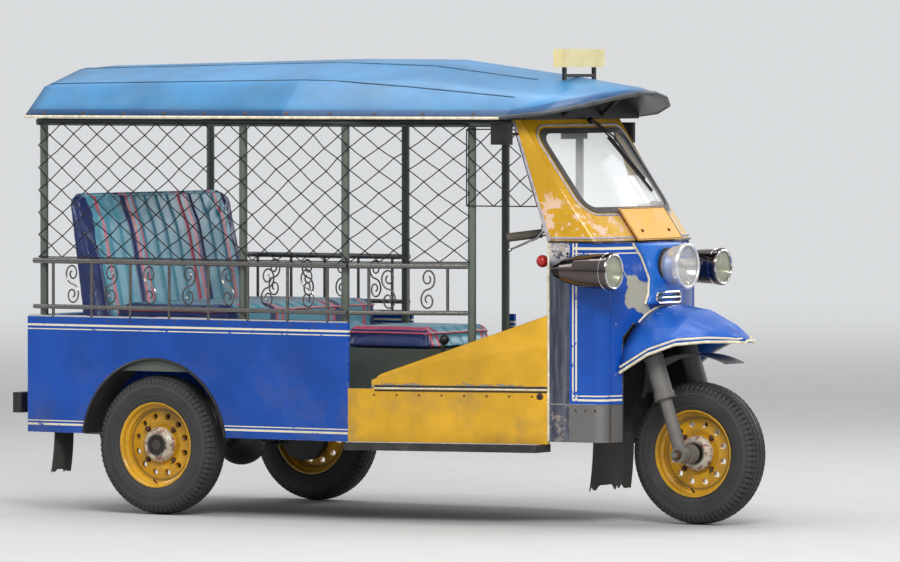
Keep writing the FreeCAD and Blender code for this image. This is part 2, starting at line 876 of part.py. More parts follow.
def floor_pan():
    low = floor_top - floor_thickness
    inset = tub_wall + seat_gap
    front = well_rear - well_wall - seat_gap
    rows = [(front, cab_rear_half_width - 40), (cab_rear - 2, flare(cab_rear - 2) - inset)]
    rows += [(x, flare(x) - inset) for x in (tub_front, floor_rear)]
    outline = [at(x, -y, low) for x, y in rows]
    outline += [at(x, y, low) for x, y in reversed(rows)]
    plate = prism(outline, FreeCAD.Vector(0, 0, floor_thickness))
    half = engine_half_width + engine_clear
    front, rear = engine_front + engine_clear, engine_front - engine_length - engine_clear
    return plate.cut(block(front, rear, -half, half, 0, 2 * floor_top))


# Frame, steering head and the running gear


def chassis_frame():
    """Two rails, cross members, engine brackets, the floor's outriggers and two jacking pads."""
    z0, z1 = frame_bottom, floor_top - floor_thickness - seat_gap
    half_rail = frame_rail_width / 2
    low = z1 - cross_member_depth
    parts = []
    for side in (-1, 1):
        y = side * frame_rail_spread
        parts.append(block(cab_rear + 45, tub_rear + 40, y - half_rail, y + half_rail, z0, z1))
        front_edge, rear_edge = -jack_place + jack_pad / 2, -jack_place - jack_pad / 2
        pad_low = z0 - jack_pad_thickness
        parts.append(block(front_edge, rear_edge, y - half_rail, y + half_rail, pad_low, z0))
        for x in (engine_front - 70, engine_front - engine_length + 70):
            inner = side * (engine_half_width + seat_gap)
            parts.append(block(x - half_rail, x + half_rail, inner, y, z0 + 10, z0 + 40))
    reach = body_half_width - tub_wall - seat_gap
    under_seat = flare(seat_front + 60 + cross_member_width / 2) - tub_wall - seat_gap
    members = [(cab_rear + 25, frame_rail_spread), (seat_front + 60, under_seat),
               (tub_posts[1] + 70, reach), (rear_member, reach)]
    for x, half in members:
        parts.append(block(x - cross_member_width / 2, x + cross_member_width / 2, -half, half, low, z1))
    return solid_of(fuse(parts))


def steering_head():
    """Barrel for the fork's stem, with two braces down to the floor."""
    low = stem_point(head_bottom)
    high = low + up_stem * head_length
    braces = []
    for side in (-1, 1):
        top = high - up_stem * head_length * 0.3 + FreeCAD.Vector(-20, side * 14, 0)
        foot = at(well_rear - 40, side * well_half_width * 0.8, floor_top + 13)
        braces.append(rod(top, foot, 15))
    past = up_stem * joint_clearance
    bore = rod(low - past, high + past, stem_diameter / 2 + running_gap)
    shape = fuse([rod(low, high, head_diameter / 2)] + braces).cut(bore)
    return solid_of(shape.cut(well_outer()))


axle_beam_radius = 28.0
drum_radius = 108.0
drum_width = 34.0
differential_radius = 105.0
shaft_radius = 22.0


def rear_axle():
    """Axle beam with its differential, brake drums, wheel stubs and the drive shaft."""
    x, z = -wheelbase, tyre_radius
    beam_end = track / 2 - tyre_width / 2 - 37.5
    drum_end = track / 2 - tyre_width / 2 - 2 * joint_clearance
    stub_end = track / 2 + 45
    shapes = [
        cross_rod(x, -beam_end, beam_end, z, axle_beam_radius),
        cross_rod(x, -stub_end, stub_end, z, rear_stub_radius),
        Part.makeSphere(differential_radius, at(x, 0, z)),
    ]
    for side in (-1, 1):
        shapes.append(cross_rod(x, side * (drum_end - drum_width), side * drum_end, z, drum_radius))
    shaft_start = engine_front - engine_length - joint_clearance
    shapes.append(rod(at(shaft_start, 0, engine_bottom + 24), at(x, 0, z + 4), shaft_radius))
    return solid_of(fuse(shapes))


spring_half = 380.0
leaf_width = 50.0
leaf_thickness = 8.0
second_leaf = 0.62
third_leaf = 0.32
clamp_half = 46.0
clamp_overhang = 12.0
bolt_radius = 4.0


def leaf_spring():
    """Stack of three leaves between the frame's rail and the axle, clamped by U-bolts."""
    y = -frame_rail_spread
    axle_top = tyre_radius + axle_beam_radius + seat_gap
    end_rise = frame_bottom - seat_gap - leaf_thickness - axle_top
    step = leaf_thickness * 0.6

    def over(share, lift):
        return share * spring_half, axle_top + end_rise * share ** 2 + lift

    # the top's right half, from the spring's end to the shortest leaf
    top = [over(1.0, leaf_thickness), over(second_leaf, leaf_thickness)]
    top += [over(second_leaf, leaf_thickness + step), over(third_leaf, leaf_thickness + step)]
    top.append(over(third_leaf, leaf_thickness + 2 * step))
    top += [(-x, z) for x, z in reversed(top)]
    ends = [over(-1.0, 0), over(0, 0), over(1.0, 0)]
    under = Part.Arc(*[at(-wheelbase + x, y - leaf_width / 2, z) for x, z in ends]).toShape()
    points = [at(-wheelbase + x, y - leaf_width / 2, z) for x, z in [ends[2]] + top + [ends[0]]]
    lines = [Part.LineSegment(a, b).toShape() for a, b in zip(points, points[1:])]
    leaves = Part.Face(Part.Wire([under] + lines)).extrude(along_y(leaf_width))
    reach = leaf_width / 2 + clamp_overhang
    low = tyre_radius - axle_beam_radius - seat_gap
    high = over(third_leaf, leaf_thickness + 2 * step)[1] - 2
    shapes = [leaves]
    x0, x1 = -wheelbase - clamp_half, -wheelbase + clamp_half
    for z in (low - leaf_thickness, high):
        shapes.append(block(x0, x1, y - reach, y + reach, z, z + leaf_thickness))
    spread = clamp_half - 9
    aside = reach - clamp_overhang / 2
    for dx in (-spread, spread):
        for dy in (-aside, aside):
            foot = at(-wheelbase + dx, y + dy, low - 2)
            shapes.append(rod(foot, foot + FreeCAD.Vector(0, 0, high + 2 - foot.z), bolt_radius))
    return solid_of(fuse(shapes))


pipe_radius = 20.0
pipe_side = 160.0
silencer_radius = 52.0
silencer_length = 240.0


def exhaust():
    """Pipe from the engine over the axle to a silencer, hung from the rear cross member."""
    y = -pipe_side
    high = frame_bottom + 2
    low = frame_bottom - 30
    start = engine_front - engine_length - seat_gap
    silencer = tub_rear + 300
    path = [at(start, y + 60, high), at(start - 50, y + 60, high), at(start - 150, y, high),
            at(silencer + 120, y, high), at(silencer + 20, y, low), at(silencer - 60, y, low)]
    silencer_end = silencer - silencer_length
    body = rod(at(silencer, y, low), at(silencer_end, y, low), silencer_radius)
    tail = rod(at(silencer_end + 10, y, low), at(tub_rear - 40, y, low), pipe_radius)
    top = floor_top - floor_thickness - cross_member_depth - 2 * seat_gap
    hanger = block(rear_member - 4, rear_member + 4, y - 12, y + 12, low, top)
    return solid_of(fuse([tube(path, pipe_radius, 3 * pipe_radius), body, tail, hanger]))


# Seats and what is under them


def rounded_block(x0, x1, half, z0, z1, r):
    shape = block(x0, x1, -half, half, z0, z1)
    return shape.makeFillet(r, [e for e in shape.Edges if abs(e.CenterOfMass.z - z1) < 1])


def engine_cover():
    """Box over the engine that carries the driver's seat, open below."""
    front, rear = seat_front - cover_setback, engine_front - engine_length - cover_room
    half = seat_half + cover_margin
    low = floor_top + seat_gap
    outer = block(front, rear, -half, half, low, seat_height)
    inner = block(front - sheet, rear + sheet, -half + sheet, half - sheet, floor_top, seat_height - sheet)
    return outer.cut(inner)


def driver_seat():
    low = seat_height + seat_gap
    return rounded_block(seat_front, seat_front - seat_depth, seat_half, low, low + seat_thickness, 24)


def bench_base():
    half = body_half_width - tub_wall - seat_gap
    low = bench_height - bench_drop
    outer = block(bench_front, bench_rear, -half, half, low, bench_height)
    front, rear, side = bench_front - sheet, bench_rear + sheet, half - sheet
    return outer.cut(block(front, rear, -side, side, low - 1, bench_height - sheet))


def passenger_cushion():
    low = bench_height + seat_gap
    front = bench_front + cushion_overhang
    return rounded_block(front, front - cushion_depth, cushion_half, low, low + cushion_thickness, 34)


def passenger_backrest():
    """Sloping back behind the cushion, up against the rear panel's top."""
    low = bench_height + seat_gap
    front = bench_front + cushion_overhang - cushion_depth - joint_clearance
    top, top_front = bench_height + backrest_height, front - backrest_lean
    outline = [(front, low), (top_front, top), (top_front - backrest_top_depth, top), (bench_rear, low)]
    return prism([at(x, -cushion_half, z) for x, z in outline], along_y(2 * cushion_half))


def engine_block():
    rear = engine_front - engine_length
    half = engine_half_width
    return block(engine_front, rear, -half, half, engine_bottom, engine_bottom + engine_rise)


# Dashboard and the driver's controls

dash_drop = 78.0
dash_thickness = 6.0
dash_lip = 24.0
meter_radius = 46.0
meter_side = 200.0


def dashboard():
    """Shelf inside the cowl with a hole for the stem, a raised rear lip and a round meter."""
    top = belt_height - dash_drop
    low = top - dash_thickness
    inside = cab_volume(low, top + dash_lip, skin + seat_gap)
    shelf = inside.common(block(cab_front, cab_rear + 20, -cab_half_width, cab_half_width, low, top))
    x0, x1 = cab_rear + 20, cab_rear + 20 + dash_thickness
    lip = inside.common(block(x0, x1, -cab_half_width, cab_half_width, low, top + dash_lip))
    foot, head = at(cab_front - 100, -meter_side, low), at(cab_front - 112, -meter_side, top + 2 * dash_lip)
    meter = rod(foot, head, meter_radius)
    hole = rod(stem_point(low - 30), stem_point(top + 30), stem_diameter / 2 + 4 * joint_clearance)
    shape = fuse([shelf, lip, meter]).cut(hole)
    return max(shape.Solids, key=lambda s: s.Volume)


def driver_controls():
    """Three foot pedals, the gear lever and the hand brake."""
    low = floor_top + seat_gap
    solids = []
    for y in (-130, -50, 130):
        foot = at(cab_rear + 38, y, low)
        head = at(cab_rear + 8, y, low + 90)
        pad = block(cab_rear - 4, cab_rear + 14, y - 28, y + 28, low + 62, low + 122)
        under = block(well_rear, cab_rear, y - 28, y + 28, 0, low)
        solids.append(solid_of(fuse([rod(foot, head, 7), pad]).cut(under)))
    # foot (along, across), top (along, across, above the floor), radius of the rod and of its knob
    levers = [((seat_front + 110, -400), (seat_front + 150, -385, 270), 8, 20),
              ((seat_front + 60, 400), (seat_front + 200, 390, 190), 9, 13)]
    for (x, y), (top_x, top_y, rise), r, knob in levers:
        top = at(top_x, top_y, low + rise)
        stick = rod(at(x, y, low - 2 * r), top, r)
        collar = Part.makeCylinder(28, 12, at(x, y, low))
        shape = fuse([stick, collar, Part.makeSphere(knob, top)])
        solids.append(solid_of(shape.cut(block(x - 99, x + 99, y - 99, y + 99, 0, low))))
    return Part.makeCompound(solids)


# Rails and net


def rail_run(a, b, count):
    """Two level tubes with uprights between them. a and b are (along, across) ends."""
    bars = [
        rod(at(a[0], a[1], rail_top), at(b[0], b[1], rail_top), rail_radius),
        rod(at(a[0], a[1], low_rail_height), at(b[0], b[1], low_rail_height), low_rail_radius),
    ]
    for i in range(count):
        t = (i + 0.5) / count
        x, y = a[0] + (b[0] - a[0]) * t, a[1] + (b[1] - a[1]) * t
        foot = tub_top + seat_gap if abs(y) > tub_post_spread else low_rail_height
        bars.append(rod(at(x, y, foot), at(x, y, rail_top), upright_radius))
    return solid_of(fuse(bars))


def side_rails():
    """The right rail runs from the front post to the rear, the left one only beside the bench."""
    start = (front_post - 4, -front_post_spread - post_radius - rail_radius - seat_gap)
    bend = (tub_posts[0] + 34, -rail_spread)
    rest = (tub_posts[0] + 27, -rail_spread)
    rear = tub_rear + rail_end
    left = rail_run((tub_posts[1], rail_spread), (rear, rail_spread), 6)
    return Part.makeCompound([rail_run(start, bend, 3), rail_run(rest, (rear, -rail_spread), 8), left])


def side_net():
    """The net on the closed side, as two thin flat sheets that meet at a post."""
    offset = post_radius + net_thickness / 2 + seat_gap
    low = rail_top + rail_radius + seat_gap
    half = net_thickness / 2
    bend_x = tub_posts[0] + 30
    along_tub = -tub_post_spread - offset
    forward = [(front_post, -front_post_spread - offset), (bend_x, along_tub)]
    rearward = [(bend_x - seat_gap, along_tub), (tub_posts[2] - post_radius, along_tub)]
    sheets = []
    for ends in (forward, rearward):
        points = [at(x, y - half, low) for x, y in ends]
        points += [at(x, y + half, low) for x, y in reversed(ends)]
        sheets.append(prism(points, FreeCAD.Vector(0, 0, top_frame_height - low)))
    return Part.makeCompound(sheets)


# Steered front fork


def fork():
    """Two stepped legs, a crown and the stem, with the axle and its spindle housings."""
    parts = []
    spindle_start = rim_hub_half + joint_clearance
    for side in (-1, 1):
        axle = leg_point(tyre_radius, side)
        step = leg_point(tyre_radius + leg_step_rise, side)
        lip = leg_point(tyre_radius + leg_step_rise + 26, side)
        parts.append(rod(axle, step, leg_lower_diameter / 2))
        parts.append(rod(step, leg_point(crown_height, side), leg_upper_diameter / 2))
        parts.append(rod(step, lip, leg_upper_diameter / 2 + 4))
        parts.append(rod(axle - along_y(boss_half), axle + along_y(boss_half), boss_radius))
        hub_end, leg_middle = side * spindle_start, side * leg_spacing / 2
        parts.append(cross_rod(0, hub_end, leg_middle, tyre_radius, spindle_radius / 2))
        hub_end, leg_middle = hub_end + side * 14, leg_middle - side * 30
        parts.append(cross_rod(0, hub_end, leg_middle, tyre_radius, spindle_radius))
    crown_centre = stem_point(crown_height)
    half = leg_spacing / 2 + leg_upper_diameter / 2
    front = fork_offset + crown_lip
    rear = -stem_diameter - 4
    corners = [(rear, -crown_rear_half), (front, -half), (front, half), (rear, crown_rear_half)]
    points = [crown_centre + ahead_stem * ahead + along_y(across) for ahead, across in corners]
    parts.append(prism(points, up_stem * crown_thickness))
    top = stem_point(head_bottom) + up_stem * (head_length + stem_over)
    parts.append(rod(crown_centre, top, stem_diameter / 2))
    reach = leg_spacing / 2 + boss_half + axle_end
    parts.append(cross_rod(0, -reach, reach, tyre_radius, axle_radius))
    return solid_of(fuse(parts))


def bar_points():
    """The bar's bends on the right side, the same on the left, and where the yoke holds it."""
    top = stem_point(head_bottom) + up_stem * (head_length + stem_over - 15)
    clamp = top + FreeCAD.Vector(-30, 0, 26)
    # along, across, over the belt
    bends = [(cab_rear - 25, 150, 24), (cab_rear - 115, 182, 34), (cab_rear - 260, 246, 14)]
    side = [clamp - along_y(60)] + [at(x, -y, belt_height + z) for x, y, z in bends]
    other = [FreeCAD.Vector(p.x, -p.y, p.z) for p in side]
    return side, other, clamp


def handlebar():
    side, other, clamp = bar_points()
    head_top = stem_point(head_bottom) + up_stem * head_length
    bar = tube(list(reversed(side)) + other, bar_diameter / 2, 60)
    yoke = rod(head_top + up_stem * (stem_over + 1), clamp, 20)
    collar = rod(head_top + up_stem * (stem_over - 10), head_top + up_stem * (stem_over + 35), 30)
    stem = rod(head_top, head_top + up_stem * stem_over, stem_diameter / 2)
    return solid_of(fuse([bar, yoke, collar]).cut(stem))


def grips():
    pair = []
    for points in bar_points()[:2]:
        inner, outer = points[2], points[3]
        along = (outer - inner).normalize()
        sleeve = rod(outer - along * grip_length, outer + along * 6, grip_diameter / 2)
        pair.append(sleeve.cut(rod(outer - along * (grip_length + 10), outer, bar_diameter / 2)))
    return Part.makeCompound(pair)


def inner_fender():
    """Sheet guard over the tyre, hung from the fork crown."""
    outer_radius = tyre_radius + fender_clearance
    centre = at(0, -fender_half, tyre_radius)
    angles = [math.radians(a) for a in (66, 94, 122)]

    def on(radius, angle):
        return centre + FreeCAD.Vector(radius * math.cos(angle), 0, radius * math.sin(angle))

    outer = [on(outer_radius, a) for a in angles]
    inner = [on(outer_radius - fender_thickness, a) for a in reversed(angles)]
    wire = Part.Wire([
        Part.Arc(*outer).toShape(),
        Part.LineSegment(outer[2], inner[0]).toShape(),
        Part.Arc(*inner).toShape(),
        Part.LineSegment(inner[2], outer[0]).toShape(),
    ])
    return Part.Face(wire).extrude(along_y(2 * fender_half))


# Wheels

rim_hub_half = 44.0
disc_holes = 12
disc_hole_radius = 12.0


def tyre(x, y):
    """Tyre with a flat tread and two bands to each wall, its axis along Y."""
    w = tyre_width / 2
    seat = rim_diameter / 2 - rim_bead
    # across, radius, on one side of the wheel
    half = [(w - tread_inset, seat), (w, (seat + tyre_radius) / 2), (w - tread_inset, tyre_radius)]
    left = [(-across, radius) for across, radius in half]
    return turn_profile(left + list(reversed(half)), at(x, y, tyre_radius), True)


def rim(x, y, bore):
    """Steel wheel: stepped rim, dished disc with a ring of holes, and a hub."""
    r = rim_diameter / 2 - rim_bead
    hub = rim_hub_half
    # across, radius, on one side of the wheel
    half = [(52, r + 10), (52, r + 4), (46, r - 1), (30, r - 1), (24, r - 12), (8, r - 12), (6, r - 26),
            (14, r - 64), (6, 72), (30, 66), (hub, 54), (hub, bore)]
    left = [(-across, radius) for across, radius in half]
    profile = left + list(reversed(half)) + [(46, r), (-46, r)]
    c = at(x, y, tyre_radius)
    wheel = turn_profile(profile, c, True)
    ring = r - 45
    for i in range(disc_holes):
        a = 2 * math.pi * (i + 0.5) / disc_holes
        spot = c + FreeCAD.Vector(ring * math.cos(a), -40, ring * math.sin(a))
        wheel = wheel.cut(Part.makeCylinder(disc_hole_radius, 80, spot, FreeCAD.Vector(0, 1, 0)))
    return wheel


# Rear bumper, tail lamps and mudflaps


def rear_bumper():
    x = -wheelbase - rear_overhang
    low, high = bumper_height - bumper_rise / 2, bumper_height + bumper_rise / 2
    shapes = [block(x, x + bumper_depth, -bumper_half, bumper_half, low, high)]
    for side in (-1, 1):
        y0, y1 = side * bumper_half * 0.68, side * bumper_half * 0.75
        arm = block(x + bumper_depth, tub_rear - seat_gap, y0, y1, bumper_height - 20, bumper_height + 20)
        shapes.append(arm)
    shape = fuse(shapes)
    for y in (-tow_hole_across / 2, tow_hole_across / 2):
        for z in (-tow_hole_rise / 2, tow_hole_rise / 2):
            start = at(x - 5, y, bumper_height + z)
            shape = shape.cut(rod(start, start + FreeCAD.Vector(bumper_depth + 20, 0, 0), tow_hole_radius))
    return solid_of(shape)


def tail_lamps():
    face = tub_rear - seat_gap
    half = tail_lamp_size / 2
    middle = (tub_top + rear_panel_bottom) / 2 + 27.5
    pair = []
    for y in (-body_half_width + tail_lamp_inset, body_half_width - tail_lamp_inset):
        lamp = block(face - tail_lamp_depth, face, y - half, y + half, middle - half, middle + half)
        pair.append(lamp.makeFillet(8, [e for e in lamp.Edges if e.CenterOfMass.x < front_axle + face - 25]))
    return Part.makeCompound(pair)


def mudflaps():
    """One flap on the back of the wheel well and one behind each rear wheel."""
    back = well_rear - well_wall - seat_gap
    half, top = front_flap_half, floor_top - 30
    front_flap = block(back, back - flap_thickness, -half, half, front_flap_low, top)
    member = rear_member - cross_member_width / 2 - seat_gap
    outer, top = body_half_width - tub_wall - rear_flap_inset, floor_top - 25
    rear_flap = block(member, member - flap_thickness, -outer, -outer + tyre_width, rear_flap_low, top)
    return Part.makeCompound([front_flap, rear_flap, mirror_y(rear_flap)])


pieces = {
    "chassis_frame": chassis_frame,
    "floor_pan": floor_pan,
    "steering_head": steering_head,
    "front_cowl": front_cowl,
    "cowl_skirt": cowl_skirt,
    "cowl_strips": cowl_strips,
    "wheel_well": wheel_well,
    "nose_panel": nose_panel,
    "front_mudguard": front_mudguard,
    "mudflaps": mudflaps,
    "windscreen_frame": windscreen_frame,
    "windscreen_rubber": windscreen_rubber,
    "windscreen_glass": windscreen_glass,
    "wiper": wiper,
    "mirrors": mirrors,
    "number_plate": number_plate,
    "headlamp_shell": headlamp_shell,
    "headlamp_lens": headlamp_lens,
    "roof_panel": roof_panel,
    "roof_header": roof_header,
    "roof_frame": roof_frame,
    "roof_bows": roof_bows,
    "roof_posts": roof_posts,
    "roof_sign": roof_sign,
    "tub_side_right": tub_side,
    "tub_side_left": tub_side_left,
    "rear_arches": rear_arches,
    "rear_panel": rear_panel,
    "rear_bumper": rear_bumper,
    "tail_lamps": tail_lamps,
    "engine_cover": engine_cover,
    "engine_block": engine_block,
    "driver_seat": driver_seat,
    "bench_base": bench_base,
    "passenger_cushion": passenger_cushion,
    "passenger_backrest": passenger_backrest,
    "dashboard": dashboard,
    "driver_controls": driver_controls,
    "side_rails": side_rails,
    "side_net": side_net,
    "rear_axle": rear_axle,
    "exhaust": exhaust,
    "fork": fork,
    "handlebar": handlebar,
    "grips": grips,
    "inner_fender": inner_fender,
}

# Pieces made for the right side and mirrored to the left
pairs = {
    "side_lamp_shells": side_lamp_shell,
    "side_lamp_lenses": side_lamp_lens,
    "side_fairings": side_fairing,
    "sill_panels": sill_panel,
    "running_boards": running_board,
    "leaf_springs": leaf_spring,
}


def main():
    for name, make in pieces.items():
        save(name, make())
    for name, make in pairs.items():
        save(name, both_sides(make()))
    save("front_tyre", tyre(0, 0))
    save("front_rim", rim(0, 0, axle_radius + running_gap))
    for name, side in [("right", -1), ("left", 1)]:
        y = side * track / 2
        save("rear_tyre_" + name, tyre(-wheelbase, y))
        save("rear_rim_" + name, rim(-wheelbase, y, rear_stub_radius + running_gap))


main()
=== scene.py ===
import json
import math
import random

import bmesh
import bpy
from mathutils import Matrix, Vector
from mathutils.bvhtree import BVHTree

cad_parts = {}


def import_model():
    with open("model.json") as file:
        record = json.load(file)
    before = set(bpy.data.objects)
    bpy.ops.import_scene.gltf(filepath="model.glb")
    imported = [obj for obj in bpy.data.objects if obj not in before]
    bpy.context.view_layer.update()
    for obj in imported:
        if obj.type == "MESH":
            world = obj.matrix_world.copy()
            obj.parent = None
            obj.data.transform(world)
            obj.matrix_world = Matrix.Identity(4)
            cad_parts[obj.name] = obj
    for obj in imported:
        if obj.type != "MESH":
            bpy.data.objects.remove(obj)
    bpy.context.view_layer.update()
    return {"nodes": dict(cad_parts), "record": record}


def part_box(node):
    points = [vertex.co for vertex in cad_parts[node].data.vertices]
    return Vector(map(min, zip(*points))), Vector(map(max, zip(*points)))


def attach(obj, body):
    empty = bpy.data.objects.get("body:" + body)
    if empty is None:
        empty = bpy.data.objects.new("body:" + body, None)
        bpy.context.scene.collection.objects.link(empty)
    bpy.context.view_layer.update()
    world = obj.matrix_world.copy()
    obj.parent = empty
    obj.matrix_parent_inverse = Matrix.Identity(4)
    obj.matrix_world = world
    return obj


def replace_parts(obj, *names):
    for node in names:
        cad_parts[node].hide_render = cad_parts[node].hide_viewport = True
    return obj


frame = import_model()
nodes = frame["nodes"]
rng = random.Random(11)


def centre_of(node):
    low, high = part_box(node)
    return (low + high) / 2


def limits(node, axis):
    """The least and the greatest place of a node along x, y or z (0, 1 or 2)."""
    low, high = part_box(node)
    return low[axis], high[axis]


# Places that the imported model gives, in metres. Along the vehicle, x is counted from the front axle.
FRONT = sum(limits("front_tyre", 0)) / 2
REAR = sum(limits("rear_tyre_right", 0)) / 2
WHEEL_RADIUS = (limits("front_tyre", 2)[1] - limits("front_tyre", 2)[0]) / 2
BLUE_BOTTOM, BELT = limits("front_cowl", 2)
CAB_REAR, STRIP_FRONT = (x - FRONT for x in limits("cowl_strips", 0))
TUB_REAR, TUB_FRONT = (x - FRONT for x in limits("tub_side_right", 0))
TUB_LOW, TUB_TOP = limits("tub_side_right", 2)
TUB_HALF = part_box("tub_side_left")[1].y
ROOF_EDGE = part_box("roof_panel")[0].z
SIGN_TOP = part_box("roof_sign")[1].z
SEAM_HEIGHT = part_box("side_fairings")[0].z
FOLD_START = 0.685

# The camera stands this far off, this many degrees round from dead ahead, and this high
CAMERA_TURN = 60.0
CAMERA_DISTANCE = 28.0
CAMERA_HEIGHT = 1.75
PIXELS_PER_METRE = 262.0
FRAME_WIDTH = 900
FRAME_HEIGHT = 562
CONTACT_PIXEL = (700.0, 524.0)

# Tread: zigzags round the tyre, places and size of the grooves, and depth of the shoulder slots
ZIGZAGS = 76
GROOVE_PLACES = (-0.033, -0.011, 0.011, 0.033)
GROOVE_WIDTH = 0.0060
GROOVE_DEPTH = 0.007
ZIGZAG_SHIFT = 0.0028
SIPE_DEPTH = 0.0070

AHEAD = (1, 0, 0)


def at(x, y, z):
    """A point, with x counted from the front axle."""
    return Vector((FRONT + x, y, z))


# Materials


class Wire:
    """A value inside a shader. Arithmetic with it adds Math nodes."""

    def __init__(self, graph, socket):
        self.graph = graph
        self.socket = socket

    def __add__(self, other):
        return self.graph.math("ADD", self, other)

    def __sub__(self, other):
        return self.graph.math("SUBTRACT", self, other)

    def __rsub__(self, other):
        return self.graph.math("SUBTRACT", other, self)

    def __mul__(self, other):
        return self.graph.math("MULTIPLY", self, other)

    def __abs__(self):
        return self.graph.math("ABSOLUTE", self)


class Graph:
    """Short ways to add shader nodes to one material."""

    INPUTS = {
        "color": "Base Color", "metal": "Metallic", "rough": "Roughness", "coat": "Coat Weight",
        "coat_rough": "Coat Roughness", "spec": "Specular IOR Level", "transmission": "Transmission Weight",
        "ior": "IOR", "alpha": "Alpha",
    }

    def __init__(self, name):
        self.mat = bpy.data.materials.new(name)
        self.mat.use_nodes = True
        self.tree = self.mat.node_tree
        self.bsdf = self.tree.nodes["Principled BSDF"]
        self.place = self.node("TexCoord", {}, "Object")
        self.x, self.y, self.z = self.split(self.place)

    def put(self, value, socket):
        if isinstance(value, Wire):
            self.tree.links.new(value.socket, socket)
        elif isinstance(value, tuple) and len(value) == 3 and len(socket.default_value) == 4:
            socket.default_value = (*value, 1.0)
        else:
            socket.default_value = value

    def node(self, kind, inputs, output=0, **settings):
        """Adds a node with the inputs given by name or number, and returns one of its outputs."""
        node = self.tree.nodes.new("ShaderNode" + kind)
        for key, value in settings.items():
            setattr(node, key, value)
        for key, value in inputs.items():
            self.put(value, node.inputs[key])
        return Wire(self, node.outputs[output])

    def split(self, vector):
        node = self.tree.nodes.new("ShaderNodeSeparateXYZ")
        self.put(vector, node.inputs[0])
        return [Wire(self, out) for out in node.outputs]

    def math(self, kind, a, b=0.0):
        return self.node("Math", {0: a, 1: b}, operation=kind)

    def stretch(self, *scale):
        return self.node("Mapping", {"Vector": self.place, "Scale": scale})

    def noise(self, scale, detail=3.0, rough=0.55, vector=None, seed=0.0):
        inputs = {"W": seed, "Vector": vector or self.place, "Scale": scale, "Detail": detail, "Roughness": rough}
        return self.node("TexNoise", inputs, "Fac", noise_dimensions="4D")

    def cells(self, scale):
        return self.node("TexVoronoi", {"Vector": self.place, "Scale": scale}, "Distance")

    def step(self, value, low, high):
        """0 below low and 1 above high, smooth between."""
        inputs = {"Value": value, "From Min": low, "From Max": high}
        return self.node("MapRange", inputs, "Result", interpolation_type="SMOOTHSTEP")

    def fall(self, value, low, high):
        """1 below low and 0 above high, smooth between."""
        return 1.0 - self.step(value, low, high)

    def band(self, value, low, high, soft=0.0006):
        """1 between low and high."""
        return self.step(value, low - soft, low + soft) * self.fall(value, high - soft, high + soft)

    def blend(self, share, a, b, kind="Float"):
        """a where share is 0, b where it is 1. The kind is Float or Color."""
        node = self.tree.nodes.new("ShaderNodeMix")
        node.data_type = {"Float": "FLOAT", "Color": "RGBA"}[kind]
        sockets = {s.identifier: s for s in [*node.inputs, *node.outputs]}
        for key, value in (("Factor_Float", share), ("A_" + kind, a), ("B_" + kind, b)):
            self.put(value, sockets[key])
        return Wire(self, sockets["Result_" + kind])

    def mix(self, share, a, b):
        return self.blend(share, a, b, "Color")

    def most(self, *values):
        out = values[0]
        for value in values[1:]:
            out = self.math("MAXIMUM", out, value)
        return out

    def facing(self, axis):
        """How far the surface faces +X, +Y or +Z (0, 1 or 2)."""
        return self.split(self.node("NewGeometry", {}, "Normal"))[axis]

    def radius(self, x, y):
        return self.math("SQRT", x * x + y * y)

    def edges(self, radius):
        """1 on sharp edges, from the difference between the true and the rounded normal."""
        rounded = self.node("Bevel", {"Radius": radius}, samples=4)
        plain = self.node("NewGeometry", {}, "Normal")
        return self.fall(self.node("VectorMath", {0: rounded, 1: plain}, "Value", operation="DOT_PRODUCT"), 0.8, 0.97)

    def soft_normal(self, radius):
        """The surface's direction with small facets evened out."""
        return self.node("Bevel", {"Radius": radius}, samples=16)

    def relief(self, height):
        """The surface's direction as if it were raised by a height in metres."""
        return self.node("Bump", {"Distance": 1.0, "Height": height})

    def bump(self, height, strength, distance=0.001, base=None):
        inputs = {"Strength": strength, "Distance": distance, "Height": height}
        if base is not None:
            inputs["Normal"] = base
        self.put(self.node("Bump", inputs), self.bsdf.inputs["Normal"])

    def set(self, **values):
        for key, value in values.items():
            self.put(value, self.bsdf.inputs[self.INPUTS[key]])
        return self.mat


CREAM = (0.74, 0.68, 0.50)
BARE = (0.55, 0.46, 0.34)
ROAD_DIRT = (0.115, 0.098, 0.08)
BLUE = (0.001, 0.062, 0.36)
YELLOW = (0.66, 0.36, 0.014)
SKY = (0.040, 0.195, 0.40)


